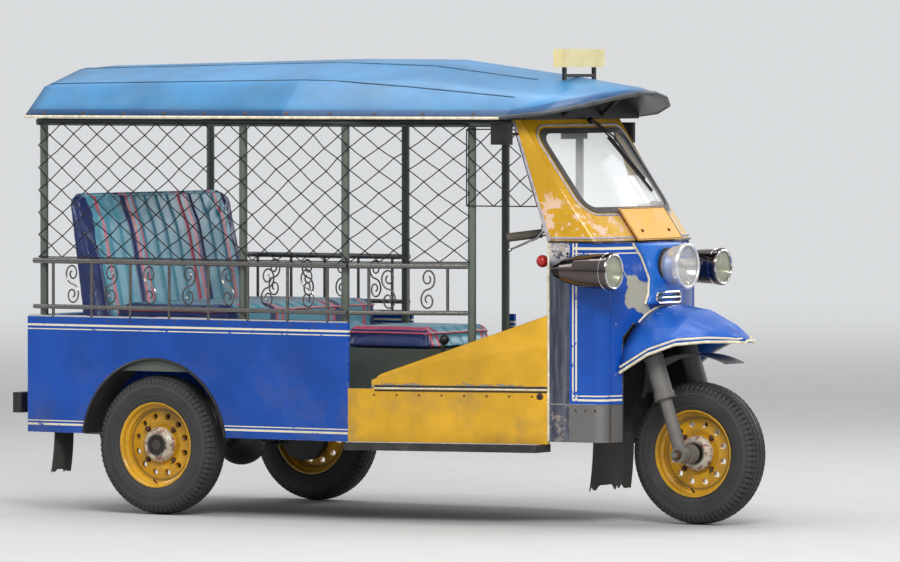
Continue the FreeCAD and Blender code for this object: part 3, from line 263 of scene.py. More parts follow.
def paint(name, color, primer, chips=0.5, gloss=0.25, seed=0.0, extra=None, dust=1.0, soft=0.0, fold=None,
          dirt=ROAD_DIRT):
    """Old gloss paint: faded in patches, streaked, chipped to primer, scratched, and dusty low down."""
    g = Graph(name)
    fade = g.step(g.noise(3.1, 4.0, 0.6, seed=seed), 0.30, 0.72)
    deep = tuple(c * 0.74 for c in color)
    light = tuple(min(1.0, c * 1.14 + 0.002) for c in color)
    tone = g.mix(fade, deep, light)
    runs = g.step(g.noise(24.0, 5.0, 0.7, g.stretch(1.0, 1.0, 0.10), seed + 9.0), 0.52, 0.80)
    tone = g.mix(runs * 0.30, tone, tuple(c * 0.45 + 0.012 for c in color))
    if extra:
        tone = extra(g, tone)
    patches = g.step(g.noise(4.2, 3.0, 0.6, seed=seed + 2.0), 0.60, 0.70)
    fine = g.step(g.noise(58.0, 5.0, 0.7, seed=seed + 3.0), 0.70 - 0.1 * chips, 0.715 - 0.1 * chips)
    worn_edge = g.edges(0.003) * g.step(g.noise(34.0, 4.0, 0.7, seed=seed + 4.0), 0.50, 0.58) * 0.85
    scratch = g.step(g.noise(30.0, 6.0, 0.8, g.stretch(1.0, 1.0, 7.0), seed + 5.0), 0.755, 0.78)
    chip = g.most(patches * fine, worn_edge, scratch * (0.7 * chips))
    tone = g.mix(chip, tone, primer)
    cloud = g.step(g.noise(7.0, 6.0, 0.65, seed=seed + 7.0), 0.42, 0.75)
    grime = (g.fall(g.z, 0.30, 0.75) * (0.5 * dust) + 0.07 * dust) * cloud
    tone = g.mix(grime, tone, dirt)
    dents = g.noise(2.6, 2.0, seed=seed + 8.0) * 6.0
    height = chip * -0.6 + g.noise(140.0, 2.0, seed=seed) * 0.05 + dents
    base = g.soft_normal(soft) if soft else None
    if fold:
        base = g.relief(fold(g))
    g.bump(height, 0.35, 0.0006, base)
    return g.set(color=tone, rough=g.blend(g.most(chip, grime), gloss, 0.7), coat=0.18, coat_rough=0.07, spec=0.36)


def metal(name, color, rough=0.25, brush=(1, 1, 1), stain=(0.2, 0.17, 0.13), amount=0.3, seed=0.0):
    """Bare metal, brushed along an axis, with stains and small scratches."""
    g = Graph(name)
    spots = g.step(g.noise(9.0, 6.0, 0.65, seed=seed), 0.5, 0.8)
    pits = g.step(g.noise(75.0, 4.0, 0.7, seed=seed + 6.0), 0.64, 0.70)
    shade = g.most(spots * amount, pits * amount)
    lines = g.noise(60.0, 4.0, 0.6, g.stretch(*brush), seed + 1)
    g.bump(lines + spots * 0.4, 0.10, 0.0004)
    return g.set(color=g.mix(shade, color, stain), metal=g.blend(shade, 1.0, 0.4),
                 rough=g.blend(g.step(lines, 0.3, 0.75), rough * 0.7, rough * 1.5))


def rubber(name, color, dust, rough=0.7, amount=0.35, seed=0.0):
    g = Graph(name)
    spread = g.step(g.noise(11.0, 6.0, 0.65, seed=seed), 0.35, 0.8)
    g.bump(g.noise(260.0, 3.0, seed=seed), 0.3, 0.0006)
    return g.set(color=g.mix(spread * amount, color, dust), spec=0.4,
                 rough=g.blend(spread, rough * 0.8, min(1.0, rough * 1.2)))


def stained_stainless():
    """Edge strip of polished sheet with rusty and whitish patches near its top and bottom."""
    g = Graph("stainless")
    streaks = g.noise(14.0, 5.0, 0.65, g.stretch(3.0, 3.0, 0.25), 2.0)
    tone = g.mix(g.step(streaks, 0.35, 0.75), (0.080, 0.090, 0.135), (0.28, 0.30, 0.36))
    high = g.step(g.z, BELT - 0.14, BELT - 0.02)
    low = g.fall(g.z, BLUE_BOTTOM - 0.05, BLUE_BOTTOM + 0.12)
    rust = g.step(g.noise(22.0, 6.0, 0.7, seed=3.0), 0.50, 0.60) * g.most(high, low * 0.6, 0.06)
    tone = g.mix(rust, tone, g.mix(g.noise(60.0, seed=4.0), (0.34, 0.15, 0.05), (0.55, 0.50, 0.42)))
    pale = g.step(g.z, BELT - 0.090, BELT - 0.045) * g.step(g.noise(30.0, 5.0, 0.7, seed=9.0), 0.40, 0.52)
    bloom = pale * (1.0 - rust)
    tone = g.mix(bloom, tone, (0.58, 0.54, 0.54))
    g.bump(streaks + rust, 0.12, 0.0006)
    dull = g.most(rust, bloom * 0.8)
    return g.set(color=tone, metal=g.blend(dull, 1.0, 0.1), rough=g.blend(dull, 0.17, 0.75))


def bands(g, value, *spans):
    """1 inside any of the spans."""
    return g.most(*[g.band(value, low, high) for low, high in spans])


def lines_over(g, lines, tone):
    """Cream lines, worn through in places."""
    return g.mix(lines * g.step(g.noise(26.0, 4.0, 0.7, seed=8.0), 0.36, 0.42), tone, CREAM)


def cowl_lines_and_reflection(g, tone):
    """Cream double lines round the blue panel on each side of the cab, a patch of bare primer, and a painted sky
    reflection: a paler, greyer blue in patches where the upper panel faces ahead.
    """
    x = g.x - FRONT
    side = g.step(abs(g.facing(1)), 0.75, 0.85)
    upright = bands(g, x, (STRIP_FRONT + 0.012, STRIP_FRONT + 0.018), (STRIP_FRONT + 0.025, STRIP_FRONT + 0.032))
    upright = upright * side * g.step(g.z, BLUE_BOTTOM + 0.014, BLUE_BOTTOM + 0.016)
    level = bands(g, g.z, (BLUE_BOTTOM + 0.014, BLUE_BOTTOM + 0.022), (BLUE_BOTTOM + 0.031, BLUE_BOTTOM + 0.036),
                  (BELT - 0.026, BELT - 0.016), (BELT - 0.042, BELT - 0.038))
    tone = lines_over(g, g.most(upright, level * g.step(x, STRIP_FRONT + 0.012, STRIP_FRONT + 0.013)), tone)
    wobble = (g.noise(24.0, 5.0, 0.7) - 0.5) * 0.085
    up = g.z - wobble + (g.y + 0.18) * 0.35
    bare = g.band(g.y + wobble, -0.238, -0.105, 0.003) * g.band(up, BELT - 0.262, BELT - 0.138, 0.003)
    tone = g.mix(bare, tone, g.mix(g.noise(9.0, 4.0, 0.6, seed=2.0), (0.30, 0.285, 0.22), (0.42, 0.41, 0.34)))
    # Painted reflection: patches of paler, greyer blue where the upper panel faces ahead, standing in for the sky's
    # reflection.
    reflection_patches = g.step(g.noise(13.0, 6.0, 0.7, seed=5.0), 0.50, 0.70)
    ahead = g.step(g.facing(0), 0.2, 0.6) * g.step(g.z, BELT - 0.20, BELT - 0.10) * reflection_patches
    return g.mix(ahead * 0.35, tone, (0.16, 0.20, 0.42))


def tub_lines(g, tone):
    """Cream double lines along the top and the bottom of the tub."""
    lines = bands(g, g.z, (TUB_TOP - 0.036, TUB_TOP - 0.028), (TUB_TOP - 0.050, TUB_TOP - 0.046),
                  (TUB_LOW + 0.028, TUB_LOW + 0.036), (TUB_LOW + 0.044, TUB_LOW + 0.048))
    return lines_over(g, lines, tone)


def guard_lines(g, tone):
    """White scuffs along the flanks of the mudguard."""
    scuff = g.step(g.noise(20.0, 6.0, 0.8, g.stretch(1.0, 1.0, 4.0), 3.0), 0.62, 0.66)
    return g.mix(scuff * 0.45, tone, (0.50, 0.58, 0.70))


def frame_blotches_and_highlight(g, tone):
    """Pinkish filler showing low on the frame, a painted highlight that makes it paler towards the plate, and a dark
    joint line at the belt.
    """
    # Painted highlight: the low middle of the frame, towards the plate, is lightened to a pale cream yellow.
    pale = g.step(g.y, -0.33, -0.05) * g.fall(g.z, BELT + 0.12, BELT + 0.20) * 0.62
    tone = g.mix(pale, tone, (0.80, 0.60, 0.26))
    blot = g.step(g.noise(17.0, 6.0, 0.72, seed=6.0), 0.525, 0.555)
    speck = g.step(g.noise(44.0, 5.0, 0.75, seed=7.0), 0.58, 0.61)
    filler = g.fall(g.z, BELT + 0.13, BELT + 0.24) * g.most(blot, speck) * 0.85
    tone = g.mix(filler, tone, (0.70, 0.50, 0.40))
    return g.mix(g.fall(g.z, BELT + 0.004, BELT + 0.016) * 0.8, tone, (0.10, 0.08, 0.07))


def fairing_fold(g):
    """The panel leans in above a line that falls from the cab to the tub."""
    line = (g.x - FRONT - CAB_REAR) * 0.155 + FOLD_START
    return g.math("MAXIMUM", g.z - line, 0.0) * -0.22


def fairing_wear(g, tone):
    """Paint chipped to grey metal along the lower seam, with rust at its rim."""
    low = g.fall(g.z, SEAM_HEIGHT + 0.004, SEAM_HEIGHT + 0.050)
    above = g.step(g.z, SEAM_HEIGHT - 0.002, SEAM_HEIGHT)
    mark = g.noise(15.0, 6.0, 0.72, g.stretch(0.7, 1.0, 1.6), 12.0) - (1.0 - low) * 0.30
    tone = g.mix(g.step(mark, 0.455, 0.462) * above, tone, (0.22, 0.11, 0.05))
    tone = g.mix(g.step(mark, 0.470, 0.478) * above, tone, (0.24, 0.235, 0.21))
    scuff = g.step(g.noise(9.0, 6.0, 0.75, g.stretch(0.5, 1.0, 2.2), 14.0), 0.665, 0.68)
    return g.mix(scuff * 0.75, tone, (0.10, 0.095, 0.085))


def roof_band_and_underside_shade(g, tone):
    """A darker band along the roof's lower edge and the visor's dark lip, and painted shade: every face that looks
    down, the visor's underside with it, is made near black.
    """
    over_edge = g.z - ROOF_EDGE - g.step(g.x - FRONT, -0.62, -0.20) * 0.085
    tone = g.mix(g.fall(over_edge, 0.030, 0.033) * 0.85, tone, (0.018, 0.085, 0.24))
    stain = g.step(g.noise(5.0, 6.0, 0.68, g.stretch(0.35, 1.0, 1.0), 4.0), 0.48, 0.78)
    tone = g.mix(stain * 0.35, tone, (0.16, 0.21, 0.25))
    # Painted shade: faces that look down, under the roof and the visor, are made near black.
    return g.mix(g.fall(g.facing(2), -0.15, 0.0), tone, (0.02, 0.021, 0.024))


def wheel_tones(name, x):
    """Yellow wheel with a cream hub cap chipped to red, and grease round the middle."""

    def extra(g, tone):
        away = g.radius(g.x - x, g.z - WHEEL_RADIUS)
        red = g.step(g.noise(48.0, 4.0, 0.7, seed=2.0), 0.52, 0.56)
        cap = g.mix(red * 0.8, (0.52, 0.47, 0.38), (0.20, 0.03, 0.02))
        tone = g.mix(g.fall(away, 0.068, 0.070), tone, cap)
        grease = g.most(g.fall(away, 0.036, 0.052), g.band(away, 0.132, 0.142, 0.003) * 0.6)
        return g.mix(grease, tone, (0.012, 0.011, 0.010))

    return paint(name, (0.62, 0.33, 0.012), (0.16, 0.09, 0.05), 0.8, 0.3, 3.0, extra, dirt=(0.06, 0.045, 0.03))


def tyre_rubber():
    """Grey rubber with rings on the walls, painted shade in the shoulder slots, and a painted shade line where the tyre
    meets the rim. The axle is the origin.
    """
    g = Graph("tyre")
    spread = g.step(g.noise(11.0, 6.0, 0.65, seed=1.0), 0.35, 0.8)
    away = g.radius(g.x, g.z)
    wall = g.fall(away, WHEEL_RADIUS - 0.020, WHEEL_RADIUS - 0.016)
    tone = g.mix(wall, (0.023, 0.023, 0.024), (0.029, 0.029, 0.031))
    around = g.math("SINE", g.math("ARCTAN2", g.x, g.z) * float(ZIGZAGS))
    shoulder = g.step(abs(g.y), 0.0405, 0.0425) * g.step(away, WHEEL_RADIUS - 0.040, WHEEL_RADIUS - 0.030)
    # Painted shade in the shoulder slots: the rubber is made near black where the sipes cut in.
    tone = g.mix(g.step(around, 0.15, 0.75) * shoulder * 0.9, tone, (0.006, 0.006, 0.006))
    # Painted shade where the tyre meets the rim: the rubber darkens inside 0.174 m.
    tone = g.mix(g.fall(away, 0.168, 0.174) * 0.8, tone, (0.008, 0.008, 0.008))
    tone = g.mix(spread * 0.18, tone, (0.12, 0.11, 0.10))
    ring = g.most(g.band(away, 0.180, 0.183, 0.0008), g.band(away, 0.198, 0.200, 0.0006),
                  g.band(away, 0.226, 0.231, 0.001), g.band(away, 0.236, 0.2375, 0.0006))
    tone = g.mix(ring * 0.35, tone, (0.085, 0.083, 0.080))
    fine = g.math("SINE", away * 1400.0) * g.band(away, 0.186, 0.196, 0.001) * wall
    g.bump(fine * 0.5 + ring + g.noise(240.0, 3.0) * 0.35, 0.6, 0.0014)
    return g.set(color=tone, rough=g.blend(spread, 0.5, 0.8), spec=0.4)


def vinyl(name, fill, stripe, deep):
    """Seat cover with coloured stripes across the seat, grained, and worn where people sit."""
    g = Graph(name)
    across = abs(g.y)
    tone = g.mix(g.noise(4.0, 3.0, seed=1.0), tuple(c * 0.85 for c in fill), fill)
    tone = g.mix(bands(g, across, (0.155, 0.175), (0.195, 0.215), (0.415, 0.435)), tone, stripe)
    tone = g.mix(g.most(g.band(across, 0.215, 0.255), g.step(across, 0.475, 0.477)), tone, deep)
    dirt = g.step(g.noise(9.0, 6.0, 0.65, seed=3.0), 0.5, 0.8)
    tone = g.mix(dirt * 0.3, tone, (0.10, 0.10, 0.09))
    g.bump(g.cells(420.0) + g.noise(40.0, 5.0, 0.7) * 0.8, 0.30, 0.0007)
    return g.set(color=tone, rough=g.blend(dirt, 0.33, 0.55), spec=0.5, coat=0.1, coat_rough=0.3)


def plain(name, low, high, scale=30.0, rough=0.5, metallic=0.0, seed=0.0, bump=0.15):
    """Two close tones mixed by noise, for small trim."""
    g = Graph(name)
    fleck = g.step(g.noise(scale, 5.0, 0.65, seed=seed), 0.35, 0.7)
    g.bump(g.noise(scale * 4, 3.0, seed=seed), bump, 0.0005)
    return g.set(color=g.mix(fleck, low, high), metal=metallic,
                 rough=g.blend(fleck, rough * 0.85, min(1.0, rough * 1.2)))


def glass():
    """Clear pane with a pale whitish layer, partly dust and partly a painted reflection, thicker low down."""
    g = Graph("screen_glass")
    haze = g.step(g.noise(2.4, 5.0, 0.6), 0.35, 0.8)
    # Partly dust and partly painted reflection: a whitish layer over the pane, stronger low down.
    dust_and_reflection = haze * 0.10 + g.fall(g.z, BELT + 0.13, BELT + 0.24) * 0.10 + 0.13
    return g.set(color=(0.90, 0.93, 0.93), rough=g.blend(haze, 0.10, 0.22), alpha=dust_and_reflection, spec=0.7)


def lamp_glass(name, color, ribs, rough):
    g = Graph(name)
    g.bump(g.math("SINE", g.y * ribs), 0.30, 0.001)
    return g.set(color=color, rough=rough, transmission=0.85, ior=1.3)


def sign_tones():
    """Cream board over black legs."""
    g = Graph("sign_cream")
    fleck = g.step(g.noise(8.0, 5.0, 0.65), 0.35, 0.7)
    board = g.mix(fleck, (0.66, 0.56, 0.26), (0.76, 0.68, 0.40))
    legs = g.fall(g.z, SIGN_TOP - 0.0715, SIGN_TOP - 0.0705)
    g.bump(g.noise(32.0, 3.0), 0.15, 0.0005)
    return g.set(color=g.mix(legs, board, (0.012, 0.012, 0.013)), rough=g.blend(fleck, 0.35, 0.5))


def make_all(maker, table):
    """Makes one material from each row of a table of names and arguments."""
    return {name: maker(name, *row) for name, row in table.items()}


# colour, primer under it, chips, gloss, seed, and what lies over it
PAINTS = {
    "cowl_blue": (BLUE, BARE, 0.6, 0.25, 1.0, None, 0.4),
    "cowl_lined": (BLUE, BARE, 0.7, 0.25, 1.0, cowl_lines_and_reflection, 0.4),
    # Painted highlight: the nose gets a lighter copy of the cab's blue, as if more strongly lit.
    "nose_blue": ((0.006, 0.130, 0.54), BARE, 0.5, 0.25, 2.0, None, 1.0, 0.02),
    # Painted highlight: the mudguard gets a lighter copy of the cab's blue, as if more strongly lit.
    "guard_blue": ((0.007, 0.098, 0.46), CREAM, 0.6, 0.25, 4.0, guard_lines, 0.5, 0.07),
    "tub_blue": (BLUE, BARE, 0.5, 0.25, 7.0, tub_lines, 0.6),
    "frame_yellow": (YELLOW, (0.60, 0.50, 0.38), 0.8, 0.25, 5.0),
    "fairing_yellow": (YELLOW, (0.22, 0.20, 0.17), 0.7, 0.25, 5.0, fairing_wear, 1.0, 0.0, fairing_fold),
    "screen_yellow": (YELLOW, (0.62, 0.52, 0.42), 0.8, 0.25, 5.0, frame_blotches_and_highlight),
    "roof_blue": (SKY, (0.34, 0.44, 0.52), 0.1, 0.38, 9.0, roof_band_and_underside_shade, 1.0, 0.10, None, (0.3, 0.32, 0.33)),
    "frame_grey": ((0.10, 0.12, 0.10), (0.2, 0.1, 0.05), 0.5, 0.4, 4.0),
    "fork_grey": ((0.16, 0.155, 0.145), (0.07, 0.05, 0.04), 0.4, 0.40, 6.0),
    "chassis_black": ((0.020, 0.020, 0.022), (0.16, 0.09, 0.05), 0.6, 0.5, 7.0),
    "underbody": ((0.018, 0.018, 0.018), (0.05, 0.045, 0.04), 0.2, 0.75, 8.0),
}
# colour, roughness, brush, stain, its amount, seed
METALS = {
    "engine_metal": ((0.12, 0.115, 0.11), 0.5, (1, 1, 1), (0.05, 0.04, 0.03), 0.6, 0.0),
    "bare_aluminium": ((0.27, 0.265, 0.26), 0.40, (1, 1, 14), (0.13, 0.10, 0.08), 0.7, 2.0),
    "chrome": ((0.68, 0.68, 0.69), 0.07, (1, 1, 1), (0.30, 0.25, 0.20), 0.25, 4.0),
    "dark_chrome": ((0.13, 0.108, 0.105), 0.13, (1, 1, 1), (0.10, 0.07, 0.055), 0.6, 6.0),
    "rail_metal": ((0.20, 0.195, 0.185), 0.30, (1, 1, 1), (0.10, 0.075, 0.055), 0.6, 8.0),
    "mirror_silver": ((0.9, 0.9, 0.9), 0.04, (1, 1, 1), (0.2, 0.17, 0.13), 0.05, 7.0),
}
# colour, dust on it, roughness, amount of dust, seed
RUBBERS = {
    "flap_rubber": ((0.035, 0.034, 0.033), (0.12, 0.105, 0.085), 0.8, 0.5, 2.0),
    "seal_rubber": ((0.050, 0.047, 0.047), (0.16, 0.15, 0.14), 0.6, 0.4, 3.0),
    "grip_rubber": ((0.10, 0.085, 0.07), (0.2, 0.17, 0.14), 0.7, 0.4, 4.0),
    "black_trim": ((0.012, 0.012, 0.013), (0.08, 0.075, 0.07), 0.4, 0.2, 5.0),
    "net_cord": ((0.012, 0.012, 0.014), (0.06, 0.055, 0.05), 0.8, 0.3, 6.0),
}
# two tones, scale of the flecks, roughness, metal, seed, relief
PLAINS = {
    "lamp_chrome": ((0.60, 0.60, 0.62), (0.80, 0.80, 0.81), 22.0, 0.22, 0.55, 5.0, 0.06),
    "plate_amber": ((0.72, 0.32, 0.018), (0.78, 0.39, 0.040), 12.0),
    "cream_bead": ((0.55, 0.48, 0.33), (0.80, 0.75, 0.60), 45.0, 0.4),
    "lavender_bead": ((0.28, 0.28, 0.36), (0.46, 0.47, 0.56), 45.0, 0.4),
    "rusty_bolt": ((0.05, 0.03, 0.02), (0.16, 0.08, 0.04), 90.0, 0.7, 0.4, 0.0, 0.6),
    "slate_edge": ((0.030, 0.034, 0.042), (0.075, 0.082, 0.095), 20.0),
    "knob_red": ((0.34, 0.010, 0.012), (0.46, 0.022, 0.02), 30.0, 0.28),
    "paper": ((0.74, 0.75, 0.76), (0.84, 0.84, 0.82), 10.0, 0.8),
    "piping": ((0.50, 0.09, 0.14), (0.62, 0.14, 0.18), 60.0, 0.4),
    "floor_mat": ((0.05, 0.05, 0.05), (0.11, 0.10, 0.09), 18.0, 0.8),
}
# colour, ribs per radian of the relief's wave, roughness
LENSES = {
    "lamp_red": ((0.60, 0.015, 0.012), 900.0, 0.15),
    "lamp_glass": ((0.93, 0.93, 0.90), 500.0, 0.04),
    "frosted_glass": ((0.78, 0.80, 0.66), 900.0, 0.28),
}

materials = {}
for maker, table in ((paint, PAINTS), (metal, METALS), (rubber, RUBBERS), (plain, PLAINS), (lamp_glass, LENSES)):
    materials.update(make_all(maker, table))
materials["rim_front"] = wheel_tones("rim_front", FRONT)
materials["rim_rear"] = wheel_tones("rim_rear", REAR)
materials["stainless"] = stained_stainless()
materials["tyre"] = tyre_rubber()
materials["sign_cream"] = sign_tones()
materials["screen_glass"] = glass()
materials["seat_vinyl"] = vinyl("seat_vinyl", (0.10, 0.34, 0.46), (0.55, 0.10, 0.16), (0.02, 0.035, 0.14))

NODE_FINISH = {
    "front_cowl": "cowl_lined", "nose_panel": "nose_blue", "front_mudguard": "guard_blue",
    "tub_side_right": "tub_blue", "tub_side_left": "tub_blue", "rear_panel": "tub_blue",
    "windscreen_frame": "screen_yellow", "front_rim": "rim_front", "rear_rim_right": "rim_rear",
    "rear_rim_left": "rim_rear", "side_lamp_shells": "dark_chrome", "side_lamp_lenses": "frosted_glass",
    "headlamp_shell": "lamp_chrome",
    "side_rails": "rail_metal", "side_fairings": "fairing_yellow", "sill_panels": "fairing_yellow",
}


def dress_all():
    """Gives every carried-over solid its finish."""
    for row in frame["record"]["subparts"]:
        data = nodes[row["node"]].data
        data.materials.clear()
        data.materials.append(materials[NODE_FINISH.get(row["node"], row["material_slot"])])


dress_all()


# Ways to make small pieces

UP = Vector((0, 0, 1))
SQUARE = ((-1, -1), (1, -1), (1, 1), (-1, 1))
CREASE = math.radians(38)


def turn_points(count):
    """Cosine and sine of angles spread evenly round a full turn."""
    angles = [2 * math.pi * k / count for k in range(count)]
    return [(math.cos(a), math.sin(a)) for a in angles]


class Probe:
    """Finds points on the surface of CAD nodes."""

    def __init__(self, *names):
        self.trees = []
        for name in names:
            bm = bmesh.new()
            bm.from_mesh(nodes[name].data)
            bm.transform(nodes[name].matrix_world)
            self.trees.append(BVHTree.FromBMesh(bm))
            bm.free()

    def hit(self, origin, direction):
        """The nearest place that a ray meets and the surface's normal there, or two Nones."""
        rays = [tree.ray_cast(Vector(origin), Vector(direction)) for tree in self.trees]
        rays = [ray for ray in rays if ray[0] is not None]
        return min(rays, key=lambda ray: ray[3])[:2] if rays else (None, None)

    def front(self, y, z, proud=0.0):
        place, normal = self.hit((FRONT + 1.0, y, z), (-1, 0, 0))
        return None if place is None else place + normal * proud

    def flank(self, x, z, side):
        """Place and normal on one side, side being -1 on the right and 1 on the left."""
        return self.hit((FRONT + x, side * 2.0, z), (0, -side, 0))

    def side(self, x, z, side, proud=0.0):
        place, normal = self.flank(x, z, side)
        return None if place is None else place + normal * proud

    def top(self, x, y):
        return self.hit((x, y, 3.0), -UP)[0]


def piece(name, bm, slot, body="body", material=None):
    """Turns a bmesh into a piece that rides on a body."""
    bmesh.ops.recalc_face_normals(bm, faces=bm.faces)
    for edge in bm.edges:
        edge.smooth = len(edge.link_faces) == 2 and edge.calc_face_angle(0.0) < CREASE
    for face in bm.faces:
        face.smooth = True
    mesh = bpy.data.meshes.new(name)
    bm.to_mesh(mesh)
    bm.free()
    mesh.materials.append(materials[material or slot])
    obj = bpy.data.objects.new(name, mesh)
    bpy.context.collection.objects.link(obj)
    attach(obj, body)
    return obj


def add_tube(bm, points, radius, sides=8, closed=False, up=None):
    """Sweeps a round section along points. up keeps the section from turning on a flat loop."""
    points = [Vector(p) for p in points]
    count = len(points)
    rings = []
    normal = None
    for i, p in enumerate(points):
        before = points[i - 1] if i or closed else p
        after = points[(i + 1) % count] if i < count - 1 or closed else p
        tangent = (after - before).normalized()
        if up is not None:
            normal = Vector(up)
        elif normal is None:
            normal = tangent.orthogonal()
        normal = (normal - tangent * normal.dot(tangent)).normalized()
        other = tangent.cross(normal)
        r = radius(i / (count - 1)) if callable(radius) else radius
        rings.append([bm.verts.new(p + (normal * c + other * s) * r) for c, s in turn_points(sides)])
    pairs = list(zip(rings, rings[1:]))
    if closed:
        pairs.append((rings[-1], rings[0]))
    for a, b in pairs:
        for k in range(sides):
            j = (k + 1) % sides
            bm.faces.new((a[k], a[j], b[j], b[k]))
    if not closed:
        bm.faces.new(list(reversed(rings[0])))
        bm.faces.new(rings[-1])


def add_frame(bm, corners, radius, sides):
    """A straight rod between each corner and the next, round to the first."""
    for a, b in zip(corners, corners[1:] + corners[:1]):
        add_tube(bm, [a, b], radius, sides)


def add_lathe(bm, profile, centre, axis, segments=40):
    """Turns (distance along the axis, radius) points about an axis."""
    axis = Vector(axis).normalized()
    u = axis.orthogonal().normalized()
    v = axis.cross(u)
    rings = []
    for d, r in profile:
        spokes = turn_points(segments) if r > 1e-6 else [(0.0, 0.0)]
        rings.append([bm.verts.new(Vector(centre) + axis * d + (u * c + v * s) * r) for c, s in spokes])
    for a, b in zip(rings, rings[1:]):
        for k in range(segments):
            j = (k + 1) % segments
            corners = [a[k % len(a)], a[j % len(a)], b[j % len(b)], b[k % len(b)]]
            unique = list(dict.fromkeys(corners))
            if len(unique) > 2:
                bm.faces.new(unique)


def add_block(bm, centre, size, bevel=0.0):
    """A box about a point, with rounded edges where bevel is given."""
    matrix = Matrix.Translation(centre) @ Matrix.Diagonal((*size, 1.0))
    verts = bmesh.ops.create_cube(bm, size=1.0, matrix=matrix)["verts"]
    if bevel:
        edges = list({edge for vert in verts for edge in vert.link_edges})
        bmesh.ops.bevel(bm, geom=edges, offset=bevel, segments=2, profile=0.6, affect="EDGES")


def add_ball(bm, centre, radius, subdivisions):
    bmesh.ops.create_icosphere(bm, subdivisions=subdivisions, radius=radius, matrix=Matrix.Translation(centre))


def add_bolt(bm, place, axis, radius, height):
    """Six-sided head with a washer and a chamfer."""
    washer, rim = height * 0.2, radius * 1.35
    add_lathe(bm, [(0, 0), (0, rim), (washer, rim), (washer, 0)], place, axis, 20)
    add_lathe(bm, [(washer, radius), (height * 0.85, radius), (height, radius * 0.82), (height, 0)], place, axis, 6)


def add_dome(bm, place, axis, radius, height):
    """Round rivet head."""
    rows = [(height * math.sin(a), radius * math.cos(a)) for a in (0, 0.4, 0.8, 1.2)]
    add_lathe(bm, rows + [(height, 0)], place, axis, 12)


def circle(centre, radius, count, u=Vector((0, 1, 0)), v=UP):
    """Points round a circle in the plane of u and v."""
    return [centre + (u * c + v * s) * radius for c, s in turn_points(count)]


def steps(start, end, count):
    """Numbers from start to end, both with them."""
    return [start + (end - start) * i / count for i in range(count + 1)]


def resample(points, step):
    """Points along a polyline, about a step apart."""
    out = [points[0]]
    for a, b in zip(points, points[1:]):
        count = max(1, round((b - a).length / step))
        out += [a.lerp(b, k / count) for k in range(1, count + 1)]
    return out


def mirrored(points):
    """The same points on the vehicle's other side."""
    return [Vector((p.x, -p.y, p.z)) for p in points]


# Tyres with zigzag ribs and shoulder sipes


def arc_points(a, b, c, count):
    """Points on the circle through three 2-D points, from the first to the last."""
    (ax, ay), (bx, by), (cx, cy) = a, b, c
    d = 2 * (ax * (by - cy) + bx * (cy - ay) + cx * (ay - by))
    aa, bb, cc = ax * ax + ay * ay, bx * bx + by * by, cx * cx + cy * cy
    ux = (aa * (by - cy) + bb * (cy - ay) + cc * (ay - by)) / d
    uy = (aa * (cx - bx) + bb * (ax - cx) + cc * (bx - ax)) / d
    r = math.hypot(ax - ux, ay - uy)
    start, middle, end = (math.atan2(y - uy, x - ux) for x, y in (a, b, c))
    span = (end - start) % (2 * math.pi)
    if (middle - start) % (2 * math.pi) > span:
        span -= 2 * math.pi
    return [(ux + r * math.cos(t), uy + r * math.sin(t)) for t in steps(start, start + span, count)]


def tyre_rows(half_width):
    """The tyre's section: across, radius, how far the zigzag moves it, how deep the sipes cut it."""
    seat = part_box("front_rim")[1].z - WHEEL_RADIUS - 0.010
    shoulder = (half_width - 0.009, WHEEL_RADIUS - 0.014)
    wall = arc_points((half_width - 0.0175, seat), (half_width, (seat + WHEEL_RADIUS) / 2 - 0.004), shoulder, 12)
    crown = arc_points(shoulder, (0.0, WHEEL_RADIUS), (-shoulder[0], shoulder[1]), 60)

    def crown_radius(y):
        return min(crown, key=lambda p: abs(p[0] - y))[1]

    left = [(y, r, 0.0, 0.0) for y, r in wall[:-3]] + [(y, r, 0.0, 0.5) for y, r in wall[-3:-1]]
    left += [(*shoulder, 0.0, 1.0), (0.046, crown_radius(0.046), 0.0, 1.0)]
    half = GROOVE_WIDTH / 2
    grooves = []
    for place in reversed(GROOVE_PLACES):
        top = crown_radius(place)
        grooves += [(place + half * share, top - depth, 1.0, 0.0) for share, depth in
                    ((1.0, 0.0), (0.6, GROOVE_DEPTH), (-0.6, GROOVE_DEPTH), (-1.0, 0.0))]
    return left + grooves + [(-y, r, shift, sipe) for y, r, shift, sipe in reversed(left)]


def tyre_piece(node, body):
    low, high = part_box(node)
    rows = tyre_rows((high.y - low.y) / 2)
    bm = bmesh.new()
    rings = []
    for k, (cosine, sine) in enumerate(turn_points(ZIGZAGS * 4)):
        zig = (-1, 0, 1, 0)[k % 4] * ZIGZAG_SHIFT
        cut = SIPE_DEPTH if k % 4 == 1 else 0.0
        radii = [(y + zig * shift, r - cut * sipe - 0.0002) for y, r, shift, sipe in rows]
        rings.append([bm.verts.new((radius * sine, y, radius * cosine)) for y, radius in radii])
    for a, b in zip(rings, rings[1:] + rings[:1]):
        for i in range(len(rows)):
            j = (i + 1) % len(rows)
            bm.faces.new((a[i], a[j], b[j], b[i]))
    obj = piece(node + "_tread", bm, "tyre", body)
    obj.location = (low + high) / 2
    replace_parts(obj, node)


def tyres():
    tyre_piece("front_tyre", "front_wheel")
    tyre_piece("rear_tyre_right", "rear_wheel_right")
    tyre_piece("rear_tyre_left", "rear_wheel_left")


WHEEL_SIDES = (("front_wheel", "front_rim", -1), ("front_wheel", "front_rim", 1),
               ("rear_wheel_right", "rear_rim_right", -1), ("rear_wheel_left", "rear_rim_left", 1))
NUT_CIRCLE = 0.086
VALVE_OUT = 0.040
VALVE_DROP = 0.148


